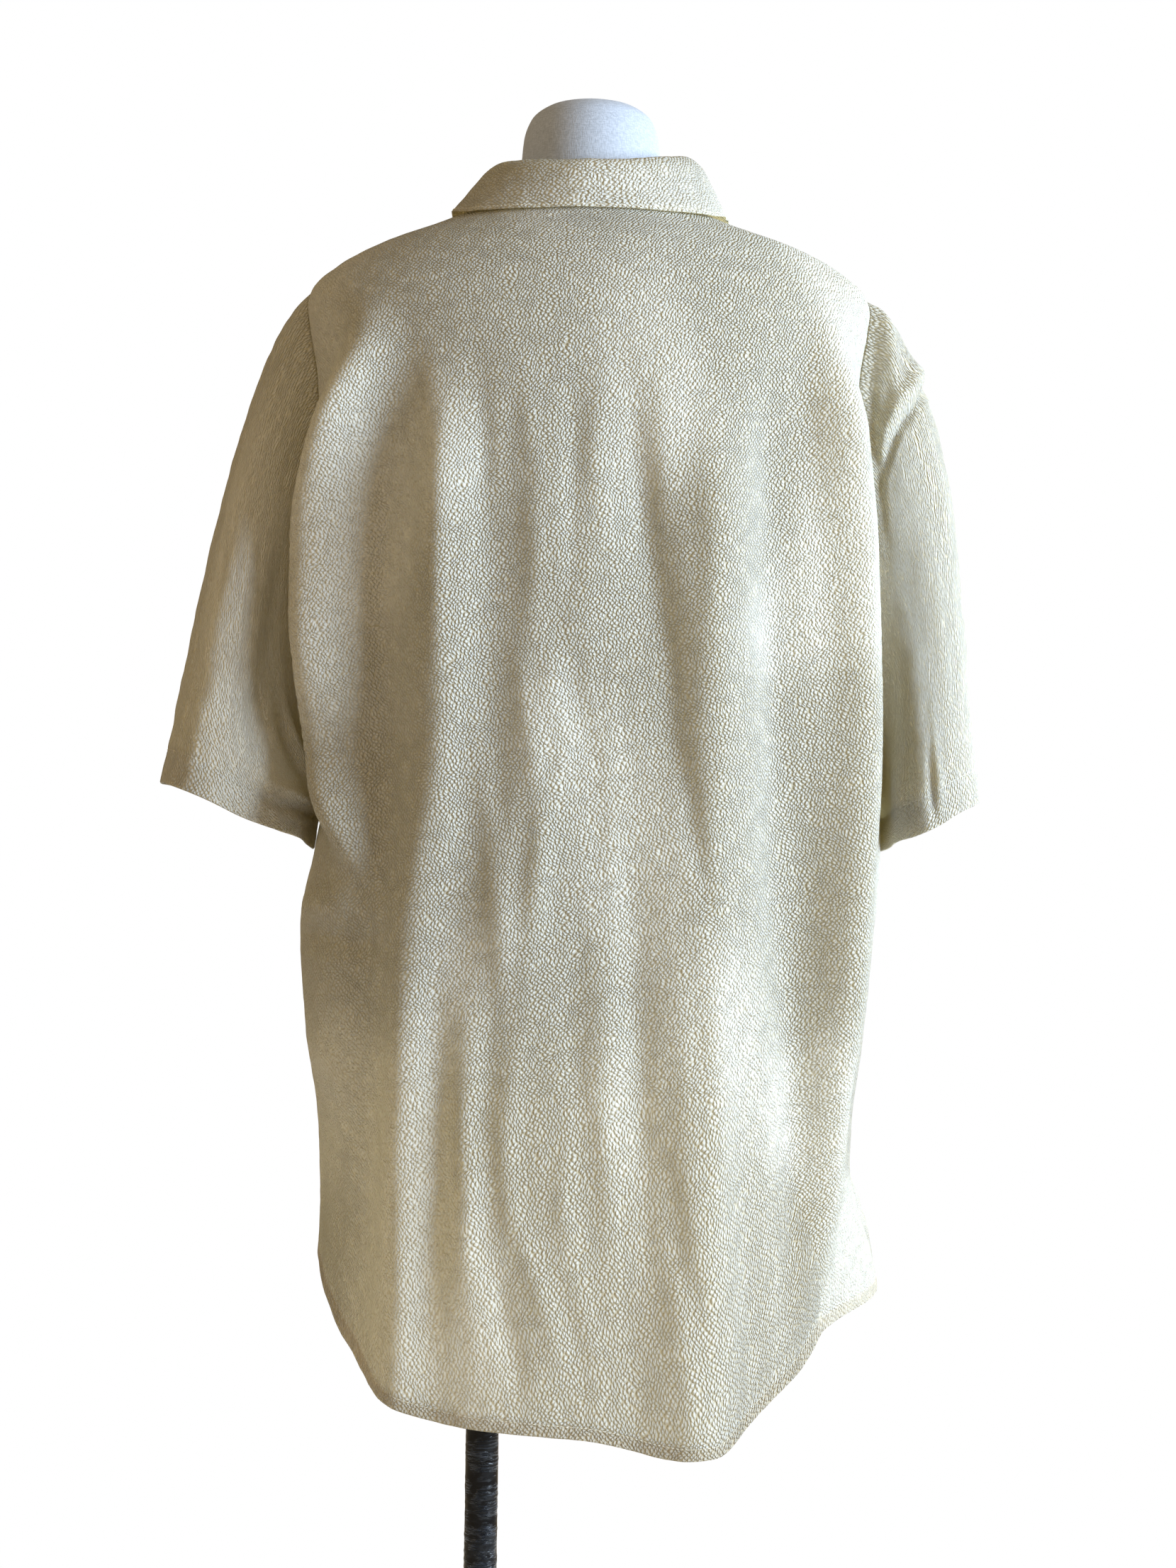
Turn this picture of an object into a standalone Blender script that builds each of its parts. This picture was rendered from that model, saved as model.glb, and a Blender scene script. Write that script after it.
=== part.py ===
"""Oversized camp-collar shirt with short sleeves, worn by a limbless dress form on a pole and a round base.

Metres, +Z up. The origin is on the floor, on the pole's axis, at the centre of the base's underside.
+Y is the wearer's back and +X the wearer's left. Widths and depths of the cloth and of the torso are
measured from the body axis, which stands BODY_X from the pole.

The body of the shirt is one closed surface, cut into a back and two fronts: a ring of given half widths
and depths at each level, from the hem to the neck. Each sleeve is lofted from the armhole, which is a
curve on that surface, to the ring of its cuff.
"""

import math

import bmesh
import bpy
import numpy as np
from mathutils import Vector

# Dress form
BODY_X = -0.068
POLE_RADIUS = 0.0125
POLE_TOP = 0.752
BASE_RADIUS = 0.180
BASE_EDGE = 0.008
BASE_CROWN = 0.020
SOCKET_RADIUS = 0.024
SOCKET_HEIGHT = 0.050
NECK_TOP = 1.500

# Cloth
CLOTH = 0.0016
ARMHOLE_GAP = 0.0009
SIDE_SEAM_HALF = 0.00035
SHOULDER_SEAM_HALF = 0.0008
LAY_GAP = 0.0005

# Levels of the shirt, above the floor
NECK_LEVEL = 1.424
SHOULDER_LEVEL = 1.352
UNDERARM_LEVEL = 1.000
BREAK_LEVEL = 1.235
HEM_SIDE = 0.630
HEM_FADE_LEVEL = 0.760

# Hem: its level by the angle round the body, 0 the wearer's left and 90 the centre back
HEM_COLUMNS = ("angle", "level")
HEM_ROWS = (
    (0, 0.630),
    (14, 0.618),
    (20, 0.606),
    (26, 0.594),
    (31, 0.580),
    (37, 0.566),
    (44, 0.552),
    (50, 0.5415),
    (58, 0.5325),
    (67, 0.5265),
    (90, 0.5205),
    (106, 0.508),
    (113, 0.509),
    (120, 0.5305),
    (125, 0.5465),
    (131, 0.5620),
    (135, 0.576),
    (139, 0.590),
    (150, 0.599),
    (165, 0.603),
    (180, 0.604),
    (200, 0.600),
    (235, 0.560),
    (270, 0.535),
    (305, 0.556),
    (335, 0.600),
    (360, 0.630),
)

# Front edge
OVERLAP = 0.017
PLACKET_RAMP = (0.024, 0.044)
BREAK_NECK_X = 0.050
PLACKET_FADE = (1.280, 1.320)
BUTTON_RADIUS = 0.0058
BUTTON_THICKNESS = 0.0026
BUTTON_COUNT = 6
BUTTON_PITCH = 0.098
BUTTON_TOP = 1.222

# Armhole, as angles on the body's rings
ARM_BACK_ANGLE = math.radians(16)
ARM_FRONT_ANGLE = math.radians(24)
ARM_REACH = math.radians(30)

# Collar: for each angle round the neck seam, where its outer edge lies across and up the body
COLLAR_EDGE_COLUMNS = ("angle", "across", "level")
COLLAR_EDGE_ROWS = (
    (-43, 0.108, 1.340),
    (-34, 0.114, 1.358),
    (-22, 0.114, 1.378),
    (-10, 0.108, 1.397),
    (0, 0.1035, 1.4080),
    (14, 0.100, 1.4065),
    (32, 0.090, 1.4045),
    (52, 0.066, 1.4045),
    (72, 0.034, 1.4055),
    (90, 0.000, 1.4065),
)
COLLAR_RISE_COLUMNS = ("angle", "rise")
COLLAR_RISE_ROWS = ((-43, 0.003), (-20, 0.008), (0, 0.013), (35, 0.024), (90, 0.027))
ROLL_LEFT = 0.077
ROLL_RIGHT = 0.080
ROLL_RIGHT_LIFT = 0.010
ROLL_DEPTH_BACK = 0.071
ROLL_DEPTH_FRONT = 0.066
COLLAR_STATIONS = 39

# Lapel: the level where it starts and ends along the break, and its tip across and up
LAPEL_START = 1.283
LAPEL_END = 1.398
LAPEL_TIP = (0.093, 1.318)

# Rings of the torso: level, half width, depth to the back, depth to the front, exponent, drop at the front
TORSO_COLUMNS = ("level", "half_width", "back", "front", "exponent", "drop")
TORSO_ROWS = (
    (0.760, 0.162, 0.106, 0.098, 2.3, 0.0),
    (0.800, 0.164, 0.109, 0.100, 2.3, 0.0),
    (0.880, 0.155, 0.106, 0.096, 2.2, 0.0),
    (0.980, 0.134, 0.095, 0.089, 2.1, 0.0),
    (1.060, 0.143, 0.099, 0.102, 2.1, 0.0),
    (1.150, 0.160, 0.106, 0.114, 2.2, 0.0),
    (1.220, 0.176, 0.108, 0.110, 2.3, 0.002),
    (1.280, 0.190, 0.103, 0.099, 2.3, 0.005),
    (1.320, 0.195, 0.096, 0.088, 2.2, 0.009),
    (1.348, 0.190, 0.089, 0.079, 2.1, 0.014),
    (1.368, 0.180, 0.083, 0.073, 2.0, 0.018),
    (1.3842, 0.1592, 0.077, 0.067, 2.0, 0.023),
    (1.396, 0.125, 0.070, 0.060, 2.0, 0.028),
    (1.407, 0.083, 0.064, 0.055, 2.0, 0.030),
    (1.422, 0.061, 0.058, 0.051, 2.0, 0.024),
    (1.444, 0.054, 0.055, 0.049, 2.0, 0.010),
    (1.470, 0.0515, 0.053, 0.048, 2.0, 0.000),
    (1.484, 0.0465, 0.048, 0.044, 2.0, 0.000),
    (1.4925, 0.036, 0.038, 0.034, 2.0, 0.000),
    (1.4965, 0.020, 0.022, 0.019, 2.0, 0.000),
)
TORSO_EXTRA_LEVELS = (0.763, 0.770, 0.840, 0.930, 1.020, 1.105, 1.185, 1.250, 1.301, 1.335, 1.359)

# Rings of the shirt's body: level, half width on the wearer's left and right, depths, exponent, and how
# far the ring drops at the centre front and at the centre back
SHIRT_COLUMNS = ("level", "left", "right", "back", "front", "exponent", "drop", "back_drop")
SHIRT_ROWS = (
    (0.480, 0.188, 0.222, 0.150, 0.150, 2.3, 0.0, 0.0),
    (0.560, 0.196, 0.230, 0.149, 0.150, 2.4, 0.0, 0.0),
    (0.600, 0.195, 0.230, 0.148, 0.150, 2.4, 0.0, 0.0),
    (0.630, 0.194, 0.225, 0.148, 0.150, 2.4, 0.0, 0.0),
    (0.660, 0.193, 0.215, 0.147, 0.149, 2.4, 0.0, 0.0),
    (0.695, 0.194, 0.208, 0.147, 0.149, 2.4, 0.0, 0.0),
    (0.730, 0.196, 0.209, 0.146, 0.149, 2.4, 0.0, 0.0),
    (0.790, 0.205, 0.216, 0.143, 0.147, 2.5, 0.0, 0.0),
    (0.870, 0.211, 0.223, 0.140, 0.146, 2.6, 0.0, 0.0),
    (0.930, 0.201, 0.227, 0.137, 0.145, 2.6, 0.0, 0.0),
    (1.000, 0.190, 0.223, 0.134, 0.145, 2.7, 0.0, 0.0),
    (1.070, 0.203, 0.219, 0.131, 0.143, 2.7, 0.0, 0.0),
    (1.140, 0.205, 0.212, 0.127, 0.139, 2.7, 0.0, 0.0),
    (1.220, 0.204, 0.208, 0.122, 0.130, 2.6, 0.002, 0.0),
    (1.280, 0.206, 0.207, 0.116, 0.117, 2.5, 0.005, 0.0),
    (1.320, 0.212, 0.212, 0.109, 0.103, 2.3, 0.009, 0.0),
    (1.340, 0.214, 0.214, 0.104, 0.095, 2.2, 0.012, 0.0),
    (1.352, 0.211, 0.211, 0.100, 0.090, 2.1, 0.015, 0.0),
    (1.370, 0.192, 0.192, 0.094, 0.082, 2.0, 0.019, 0.0),
    (1.387, 0.160, 0.160, 0.087, 0.074, 2.0, 0.023, 0.002),
    (1.402, 0.120, 0.116, 0.080, 0.068, 2.0, 0.028, 0.005),
    (1.413, 0.093, 0.089, 0.075, 0.064, 2.0, 0.031, 0.008),
    (1.424, 0.072, 0.068, 0.070, 0.061, 2.0, 0.030, 0.012),
)

# Hanging folds: side of the body (1 back, -1 front), level where it starts and ends, its place across at
# five levels, half width of the fold, and how far it stands out (a trough is negative)
FOLD_COLUMNS = ("side", "start", "end", "x_1300", "x_1150", "x_1000", "x_850", "x_600", "half_width", "rise")
FOLD_LEVELS = (0.600, 0.850, 1.000, 1.150, 1.300)
FOLD_ROWS = (
    (1, 1.350, 0.930, 0.160, 0.190, 0.177, 0.156, 0.150, 0.020, 0.026),
    (1, 1.310, 0.560, 0.132, 0.145, 0.142, 0.150, 0.156, 0.024, -0.009),
    (1, 1.070, 0.935, 0.206, 0.206, 0.204, 0.206, 0.206, 0.028, -0.020),
    (1, 1.300, 0.450, 0.110, 0.103, 0.104, 0.123, 0.124, 0.026, 0.009),
    (1, 1.270, 0.450, 0.084, 0.062, 0.070, 0.092, 0.101, 0.022, -0.0035),
    (1, 1.260, 0.820, 0.024, 0.014, 0.030, 0.046, 0.050, 0.022, 0.003),
    (1, 0.880, 0.600, 0.086, 0.086, 0.086, 0.082, 0.080, 0.018, 0.003),
    (1, 1.290, 0.780, -0.014, -0.044, -0.070, -0.092, -0.100, 0.024, -0.0035),
    (1, 1.270, 0.450, -0.084, -0.096, -0.092, -0.090, -0.088, 0.029, 0.013),
    (1, 1.310, 0.620, -0.138, -0.136, -0.146, -0.156, -0.178, 0.025, -0.011),
    (1, 1.350, 0.640, -0.178, -0.192, -0.196, -0.188, -0.170, 0.020, 0.025),
    (-1, 1.320, 0.500, 0.152, 0.164, 0.160, 0.156, 0.150, 0.026, 0.018),
    (-1, 1.280, 0.500, 0.110, 0.112, 0.110, 0.108, 0.100, 0.024, -0.008),
    (-1, 1.220, 0.500, 0.070, 0.068, 0.066, 0.064, 0.060, 0.022, 0.006),
    (-1, 1.320, 0.500, -0.154, -0.166, -0.164, -0.158, -0.150, 0.026, 0.018),
    (-1, 1.270, 0.500, -0.112, -0.120, -0.122, -0.118, -0.112, 0.024, -0.009),
    (-1, 1.210, 0.500, -0.072, -0.074, -0.070, -0.068, -0.064, 0.022, 0.006),
    (-1, 0.800, 0.400, -0.204, -0.204, -0.204, -0.204, -0.214, 0.055, 0.016),
)
FOLD_FADE = 0.110
SIDE_CALM = (0.06, 0.30)

# Sleeves: outer and inner end of the cuff's ring across and up, half its depth, its middle's Y, how much
# higher its back lies, how far the outer line leans out for each metre that it falls, and how the sleeve
# leaves the shoulder: its fall for each metre outwards, and the length that keeps that slope
CUFF_COLUMNS = ("outer_x", "outer_z", "inner_x", "inner_z", "half_depth", "mid_y", "back_lift", "lean",
                "shoulder_fall", "shoulder_pull")
CUFF_LEFT = (0.321, 0.975, 0.2045, 0.927, 0.086, -0.007, 0.009, 0.22, 0.80, 0.211)
CUFF_RIGHT = (0.299, 0.970, 0.229, 0.932, 0.080, -0.006, 0.004, 0.150, 0.54, 0.258)
UNDERARM_FALL = 0.45
UNDERARM_PULL = 0.045

# Long folds of a sleeve: where round the tube (0 underarm, 0.25 back, 0.5 shoulder, 0.75 front),
# share of the length where it starts, half width round the tube, and how far it stands out
SLEEVE_FOLD_COLUMNS = ("turn", "start", "half_width", "rise")
SLEEVE_FOLDS_LEFT = (
    (0.34, 0.10, 0.045, 0.007),
    (0.22, 0.15, 0.050, -0.008),
    (0.10, 0.30, 0.040, 0.006),
    (0.66, 0.15, 0.050, 0.006),
    (0.80, 0.20, 0.050, -0.008),
)
SLEEVE_FOLDS_RIGHT = (
    (0.40, 0.08, 0.040, 0.008),
    (0.27, 0.08, 0.055, -0.011),
    (0.12, 0.30, 0.040, 0.006),
    (0.64, 0.15, 0.050, 0.006),
    (0.79, 0.20, 0.050, -0.009),
)

# Mesh density
TORSO_ROUND = 28
BACK_COLUMNS = 40
FRONT_COLUMNS = 14
BODY_ROWS_LOW = 11
ARM_ROWS = 11
BODY_ROWS_SHOULDER = 5
SLEEVE_ROWS = 11
RING_SAMPLES = 181
SIDE_CROWDING = 0.9


def table(columns, rows):
    """A table's columns as arrays, by name."""
    return {name: np.array([row[i] for row in rows], float) for i, name in enumerate(columns)}


TORSO = table(TORSO_COLUMNS, TORSO_ROWS)
SHIRT = table(SHIRT_COLUMNS, SHIRT_ROWS)
HEM = table(HEM_COLUMNS, HEM_ROWS)
COLLAR_EDGE = table(COLLAR_EDGE_COLUMNS, COLLAR_EDGE_ROWS)
COLLAR_RISE = table(COLLAR_RISE_COLUMNS, COLLAR_RISE_ROWS)
FOLDS = [dict(zip(FOLD_COLUMNS, row)) for row in FOLD_ROWS]


def smooth_curve(knots, values, at):
    """A monotone cubic through the values, so that it never swings past them."""
    at = min(max(at, knots[0]), knots[-1])
    i = int(min(max(np.searchsorted(knots, at) - 1, 0), len(knots) - 2))
    slopes = np.diff(values) / np.diff(knots)

    def tangent(k):
        if k == 0:
            return slopes[0]
        if k == len(knots) - 1:
            return slopes[-1]
        if slopes[k - 1] * slopes[k] <= 0:
            return 0.0
        return 2 * slopes[k - 1] * slopes[k] / (slopes[k - 1] + slopes[k])

    span = knots[i + 1] - knots[i]
    t = (at - knots[i]) / span
    return (
        values[i] * (2 * t**3 - 3 * t**2 + 1)
        + span * tangent(i) * (t**3 - 2 * t**2 + t)
        + values[i + 1] * (3 * t**2 - 2 * t**3)
        + span * tangent(i + 1) * (t**3 - t**2)
    )


def smoothstep(low, high, value):
    t = min(max((value - low) / (high - low), 0.0), 1.0)
    return t * t * (3 - 2 * t)


def signed_power(value, power):
    return math.copysign(abs(value) ** power, value)


def ring_point(half_width, depth, exponent, angle):
    """A point of a superellipse, from the body axis: angle 0 is the wearer's left, 90 degrees the back."""
    x = half_width * signed_power(math.cos(angle), 2 / exponent)
    y = depth * signed_power(math.sin(angle), 2 / exponent)
    return x, y


def front_share(angle):
    """How much of the drop at the front a point takes: none at the sides and back, all at the centre front."""
    return max(0.0, -math.sin(angle)) ** 1.5


def torso_point(angle, level):
    at = {name: smooth_curve(TORSO["level"], TORSO[name], level) for name in TORSO_COLUMNS[1:]}
    depth = at["back"] if math.sin(angle) >= 0 else at["front"]
    x, y = ring_point(at["half_width"], depth, at["exponent"], angle)
    return Vector((BODY_X + x, y, level - at["drop"] * front_share(angle)))


def shirt_ring(angle, level):
    """A point of the shirt's plain ring, without folds, with the ring's sizes there."""
    at = {name: smooth_curve(SHIRT["level"], SHIRT[name], level) for name in SHIRT_COLUMNS[1:]}
    at["half_width"] = at["left"] if math.cos(angle) >= 0 else at["right"]
    at["depth"] = at["back"] if math.sin(angle) >= 0 else at["front"]
    x, y = ring_point(at["half_width"], at["depth"], at["exponent"], angle)
    return x, y, at


def ring_angle(x, level, back):
    """The angle where the ring is x across from the body axis, on its back or front half."""
    exponent = smooth_curve(SHIRT["level"], SHIRT["exponent"], level)
    half_width = smooth_curve(SHIRT["level"], SHIRT["left" if x >= 0 else "right"], level)
    share = min(1.0, abs(x) / half_width)
    turn = math.acos(math.copysign(share ** (exponent / 2), x))
    return turn if back else -turn


def fold_places(level, back):
    """The folds that reach a level: the place of each crest on the plain ring, its half width and its rise."""
    places = []
    for fold in FOLDS:
        if (fold["side"] > 0) != back:
            continue
        grown = smoothstep(fold["start"], fold["start"] - FOLD_FADE, level)
        ended = smoothstep(fold["end"] - FOLD_FADE / 2, fold["end"] + FOLD_FADE / 2, level)
        if grown * ended == 0:
            continue
        across = np.array([fold[f"x_{round(at * 1000)}"] for at in FOLD_LEVELS])
        x = smooth_curve(np.array(FOLD_LEVELS), across, level)
        crest = shirt_ring(ring_angle(x, level, back), level)
        places.append((crest[0], crest[1], fold["half_width"], fold["rise"] * grown * ended))
    return places


FOLD_CACHE = {}


def fold_height(x, y, level, back):
    """How far the hanging folds push the cloth out at a place of the plain ring."""
    key = (round(level, 5), back)
    if key not in FOLD_CACHE:
        FOLD_CACHE[key] = fold_places(level, back)
    return sum(
        rise * math.exp(-((x - at_x) ** 2 + (y - at_y) ** 2) / width**2)
        for at_x, at_y, width, rise in FOLD_CACHE[key]
    )


def shirt_point(angle, level):
    """A point of the cloth's outer face."""
    x, y, at = shirt_ring(angle, level)
    half_width, depth, power = at["half_width"], at["depth"], at["exponent"] - 1
    outward = Vector((signed_power(x / half_width, power) / half_width,
                      signed_power(y / depth, power) / depth, 0.0)).normalized()
    push = fold_height(x, y, level, math.sin(angle) >= 0) * smoothstep(*SIDE_CALM, abs(math.sin(angle)))
    drop = at["drop"] * front_share(angle) + at["back_drop"] * front_share(-angle)
    return Vector((BODY_X + x, y, level - drop)) + outward * push


def shirt_normal(angle, level):
    """The cloth's outward normal, by differences along and across the ring."""
    step = 0.004
    low, high = max(level - step, SHIRT_ROWS[0][0]), min(level + step, NECK_LEVEL)
    along = shirt_point(angle + step, level) - shirt_point(angle - step, level)
    up = shirt_point(angle, high) - shirt_point(angle, low)
    return along.cross(up).normalized()


def raised(angle, level, lift):
    """A point that far outside the cloth's outer face."""
    return shirt_point(angle, level) + shirt_normal(angle, level) * lift


def angle_at(x, level):
    return ring_angle(x, level, back=False)


def hem_level(angle):
    """The shirt-tail hem: high at the side seams, low at the centre back and front."""
    return smooth_curve(HEM["angle"], HEM["level"], math.degrees(angle) % 360)


def even_angles(level, start, end, count):
    """Angles from start to end that space a row's points evenly along the ring, closer near the sides."""
    fine = np.linspace(start, end, RING_SAMPLES)
    points = np.array([shirt_ring(angle, level)[:2] for angle in fine])
    steps = np.hypot(*np.diff(points, axis=0).T)
    middle = (fine[1:] + fine[:-1]) / 2
    steps *= 1 + SIDE_CROWDING * np.abs(np.cos(middle)) ** 4
    length = np.concatenate([[0.0], np.cumsum(steps)])
    return np.interp(np.linspace(0, length[-1], count + 1), length, fine)


def hang(angle, level):
    """Lowers a level towards the hem's curve, so that the rows of the mesh end on it."""
    if level >= HEM_FADE_LEVEL:
        return level
    share = (HEM_FADE_LEVEL - level) / (HEM_FADE_LEVEL - HEM_SIDE)
    return HEM_FADE_LEVEL - share * (HEM_FADE_LEVEL - hem_level(angle))


def arm_angle(level, limit):
    """How far round the ring the armhole reaches at a level."""
    if level <= UNDERARM_LEVEL or level >= SHOULDER_LEVEL:
        return 0.0
    t = (level - UNDERARM_LEVEL) / (SHOULDER_LEVEL - UNDERARM_LEVEL)
    return limit * math.sin(math.pi * t**0.9) ** 0.48


def seam_angle(level, back):
    """The angle that leaves a side or shoulder seam's half gap between the panels."""
    half_gap = SIDE_SEAM_HALF if level < SHOULDER_LEVEL else SHOULDER_SEAM_HALF
    at = shirt_ring(0.1 if back else -0.1, level)[2]
    return math.asin((half_gap / at["depth"]) ** (at["exponent"] / 2))


def arm_levels():
    """The levels of the rows beside the armhole, from the underarm to the shoulder point."""
    share = np.linspace(0, 1, ARM_ROWS + 1)
    return UNDERARM_LEVEL + (SHOULDER_LEVEL - UNDERARM_LEVEL) * (1 - np.cos(math.pi * share)) / 2


def body_levels():
    low = np.linspace(HEM_SIDE, UNDERARM_LEVEL, BODY_ROWS_LOW + 1)
    shoulder = np.linspace(SHOULDER_LEVEL, NECK_LEVEL, BODY_ROWS_SHOULDER + 1)
    return [*low[:-1], *arm_levels()[:-1], *shoulder]


def material(name, colour, roughness, metallic=0.0):
    made = bpy.data.materials.new(name)
    made.use_nodes = True
    shader = made.node_tree.nodes["Principled BSDF"]
    shader.inputs["Base Color"].default_value = (*colour, 1.0)
    shader.inputs["Roughness"].default_value = roughness
    shader.inputs["Metallic"].default_value = metallic
    return made


def finished(mesh, name, coat, collection):
    mesh.materials.append(coat)
    mesh.shade_smooth()
    obj = bpy.data.objects.new(name, mesh)
    collection.objects.link(obj)
    return obj


def sheet(name, rows, coat, collection, closed=False, thickness=CLOTH):
    """A wall of cloth whose outer face is the grid of points; closed joins each row's ends into a ring."""
    shape = bmesh.new()
    grid = [[shape.verts.new(point) for point in row] for row in rows]
    count = len(rows[0])
    for lower, upper in zip(grid, grid[1:]):
        for i in range(count if closed else count - 1):
            j = (i + 1) % count
            shape.faces.new((lower[i], lower[j], upper[j], upper[i]))
    mesh = bpy.data.meshes.new(name)
    shape.to_mesh(mesh)
    shape.free()
    obj = finished(mesh, name, coat, collection)
    wall = obj.modifiers.new("cloth", "SOLIDIFY")
    wall.thickness = thickness
    wall.offset = -1.0
    return obj


def give_way(angles, side_angle, trim):
    """Moves the columns near the side back from the armhole and leaves the rest where they are."""
    reach = trim + ARM_REACH
    away = np.abs(angles - side_angle)
    moved = np.where(away < reach, trim + away * (reach - trim) / reach, away)
    return side_angle + np.sign(angles - side_angle + 1e-12) * moved


def back_angles(level, count):
    trim = arm_angle(level, ARM_BACK_ANGLE) + seam_angle(level, back=True)
    angles = even_angles(level, 0.0, math.pi, count)
    angles[: count // 2] = give_way(angles[: count // 2], 0.0, trim)
    angles[count // 2 + 1 :] = math.pi - give_way(math.pi - angles[count // 2 + 1 :], 0.0, trim)
    return angles


def front_angles(level, side, count):
    trim = arm_angle(level, ARM_FRONT_ANGLE) + seam_angle(level, back=False)
    edge = angle_at(side * front_edge_x(level), level)
    if side > 0:
        return -give_way(-even_angles(level, edge, 0.0, count), 0.0, trim)
    return -math.pi + give_way(even_angles(level, edge, -math.pi, count) + math.pi, 0.0, trim)


def make_back(coat, collection):
    rows = []
    for level in body_levels():
        angles = back_angles(level, BACK_COLUMNS)
        rows.append([shirt_point(angle, hang(angle, level)) for angle in angles])
    return sheet("back", rows, coat, collection)


def front_edge_x(level):
    """Where a front's free edge runs: past the centre below the break, then open to the neck."""
    if level <= BREAK_LEVEL:
        return -OVERLAP
    open_share = (level - BREAK_LEVEL) / (NECK_LEVEL - BREAK_LEVEL)
    return -OVERLAP + (BREAK_NECK_X + OVERLAP) * open_share**0.9


def placket_lift(x, level):
    """The upper front rises over the lower one where they overlap."""
    height = CLOTH + LAY_GAP + 0.0004
    fade = 1 - smoothstep(*PLACKET_FADE, level)
    return height * (1 - smoothstep(*PLACKET_RAMP, x)) * fade


def make_front(name, side, coat, collection):
    """side is 1 for the wearer's left, which laps over, and -1 for the right."""
    rows = []
    for level in body_levels():
        row = []
        for angle in front_angles(level, side, FRONT_COLUMNS):
            place = hang(angle, level)
            point = shirt_point(angle, place)
            lift = placket_lift(point.x - BODY_X, level) if side > 0 else 0.0
            row.append(raised(angle, place, lift) if lift > 0 else point)
        rows.append(row if side > 0 else row[::-1])
    return sheet(name, rows, coat, collection)


def armhole(side):
    """The armhole as a closed loop of (angle, level): underarm, up the back, shoulder, down the front."""
    up = arm_levels()
    loop = [(arm_angle(level, ARM_BACK_ANGLE), level) for level in up[:-1]]
    loop += [(-arm_angle(level, ARM_FRONT_ANGLE), level) for level in up[:0:-1]]
    return [(turn if side > 0 else math.pi - turn, level) for turn, level in loop]


def sleeve_rows(side, cuff_row, folds, loop, count):
    """The rings of a sleeve from the armhole to the cuff."""
    cuff = dict(zip(CUFF_COLUMNS, cuff_row))
    outer = Vector((cuff["outer_x"], 0, cuff["outer_z"]))
    inner = Vector((cuff["inner_x"], 0, cuff["inner_z"]))
    middle = (outer + inner) / 2
    across = (outer - inner) / 2
    rows = [[] for _ in range(count + 1)]
    for i, (angle, level) in enumerate(loop):
        turn = i / len(loop)
        phase = 2 * math.pi * turn
        high = (1 - math.cos(phase)) / 2
        start = shirt_point(angle, level) - Vector((BODY_X, 0, 0))
        start.x *= side
        end = middle - across * math.cos(phase)
        end.y = cuff["half_depth"] * math.sin(phase) + cuff["mid_y"]
        end.z += cuff["back_lift"] * max(0.0, math.sin(phase))
        reach = (end - start).length
        fall = UNDERARM_FALL + (cuff["shoulder_fall"] - UNDERARM_FALL) * high
        leave = Vector((1.0, (0.45 + 0.4 * high) * math.sin(phase), -fall)).normalized()
        arrive = Vector((cuff["lean"], 0.0, -1.0)).normalized()
        leave_pull = UNDERARM_PULL + (cuff["shoulder_pull"] - UNDERARM_PULL) * high
        arrive_pull = reach * (0.9 - 0.1 * high)
        start = start + leave * ARMHOLE_GAP
        outward = Vector((-math.cos(phase), math.sin(phase), 0.25)).normalized()
        for k in range(count + 1):
            t = k / count
            point = (
                start * (2 * t**3 - 3 * t**2 + 1)
                + leave * leave_pull * (t**3 - 2 * t**2 + t)
                + end * (3 * t**2 - 2 * t**3)
                + arrive * arrive_pull * (t**3 - t**2)
            )
            point += outward * sleeve_fold(turn, t, folds)
            rows[k].append(Vector((BODY_X + side * point.x, point.y, point.z)))
    return rows


def make_sleeve(name, side, cuff_row, folds, coat, collection):
    rows = sleeve_rows(side, cuff_row, folds, armhole(side), SLEEVE_ROWS)
    rows = [row[::-1] if side < 0 else row for row in rows]
    return sheet(name, rows, coat, collection, closed=True)


def sleeve_fold(turn, share, folds):
    total = 0.0
    for row in folds:
        fold = dict(zip(SLEEVE_FOLD_COLUMNS, row))
        away = (turn - fold["turn"] + 0.5) % 1.0 - 0.5
        grown = smoothstep(fold["start"], fold["start"] + 0.35, share)
        total += fold["rise"] * math.exp(-((away / fold["half_width"]) ** 2)) * grown
    return total


def roll_point(angle):
    """The collar's roll line, where the stand turns over into the fall."""
    depth = ROLL_DEPTH_BACK if math.sin(angle) >= 0 else ROLL_DEPTH_FRONT
    half_width = ROLL_LEFT if math.cos(angle) >= 0 else ROLL_RIGHT
    x, y = ring_point(half_width, depth, 2.1, angle)
    rise = smooth_curve(COLLAR_RISE["angle"], COLLAR_RISE["rise"], folded_angle(angle))
    rise += ROLL_RIGHT_LIFT * max(0.0, -math.cos(angle)) ** 2
    return Vector((BODY_X + x, y, shirt_point(angle, NECK_LEVEL).z + rise))


def folded_angle(angle):
    """An angle's height above the side-to-side line, in degrees: 90 at the centre back, -90 at the front."""
    turn = math.degrees(angle)
    return turn if turn <= 90 else 180 - turn


def collar_edge(angle):
    """Where the collar's outer edge lies on the body, lifted clear of it."""
    turn = folded_angle(angle)
    across = smooth_curve(COLLAR_EDGE["angle"], COLLAR_EDGE["across"], turn)
    level = smooth_curve(COLLAR_EDGE["angle"], COLLAR_EDGE["level"], turn)
    x = math.copysign(across, math.cos(angle))
    lift = CLOTH + 0.0014 + 0.0022 * math.exp(-((turn / 20) ** 2))
    return raised(ring_angle(x, level, back=turn > 0), level, lift)


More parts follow.
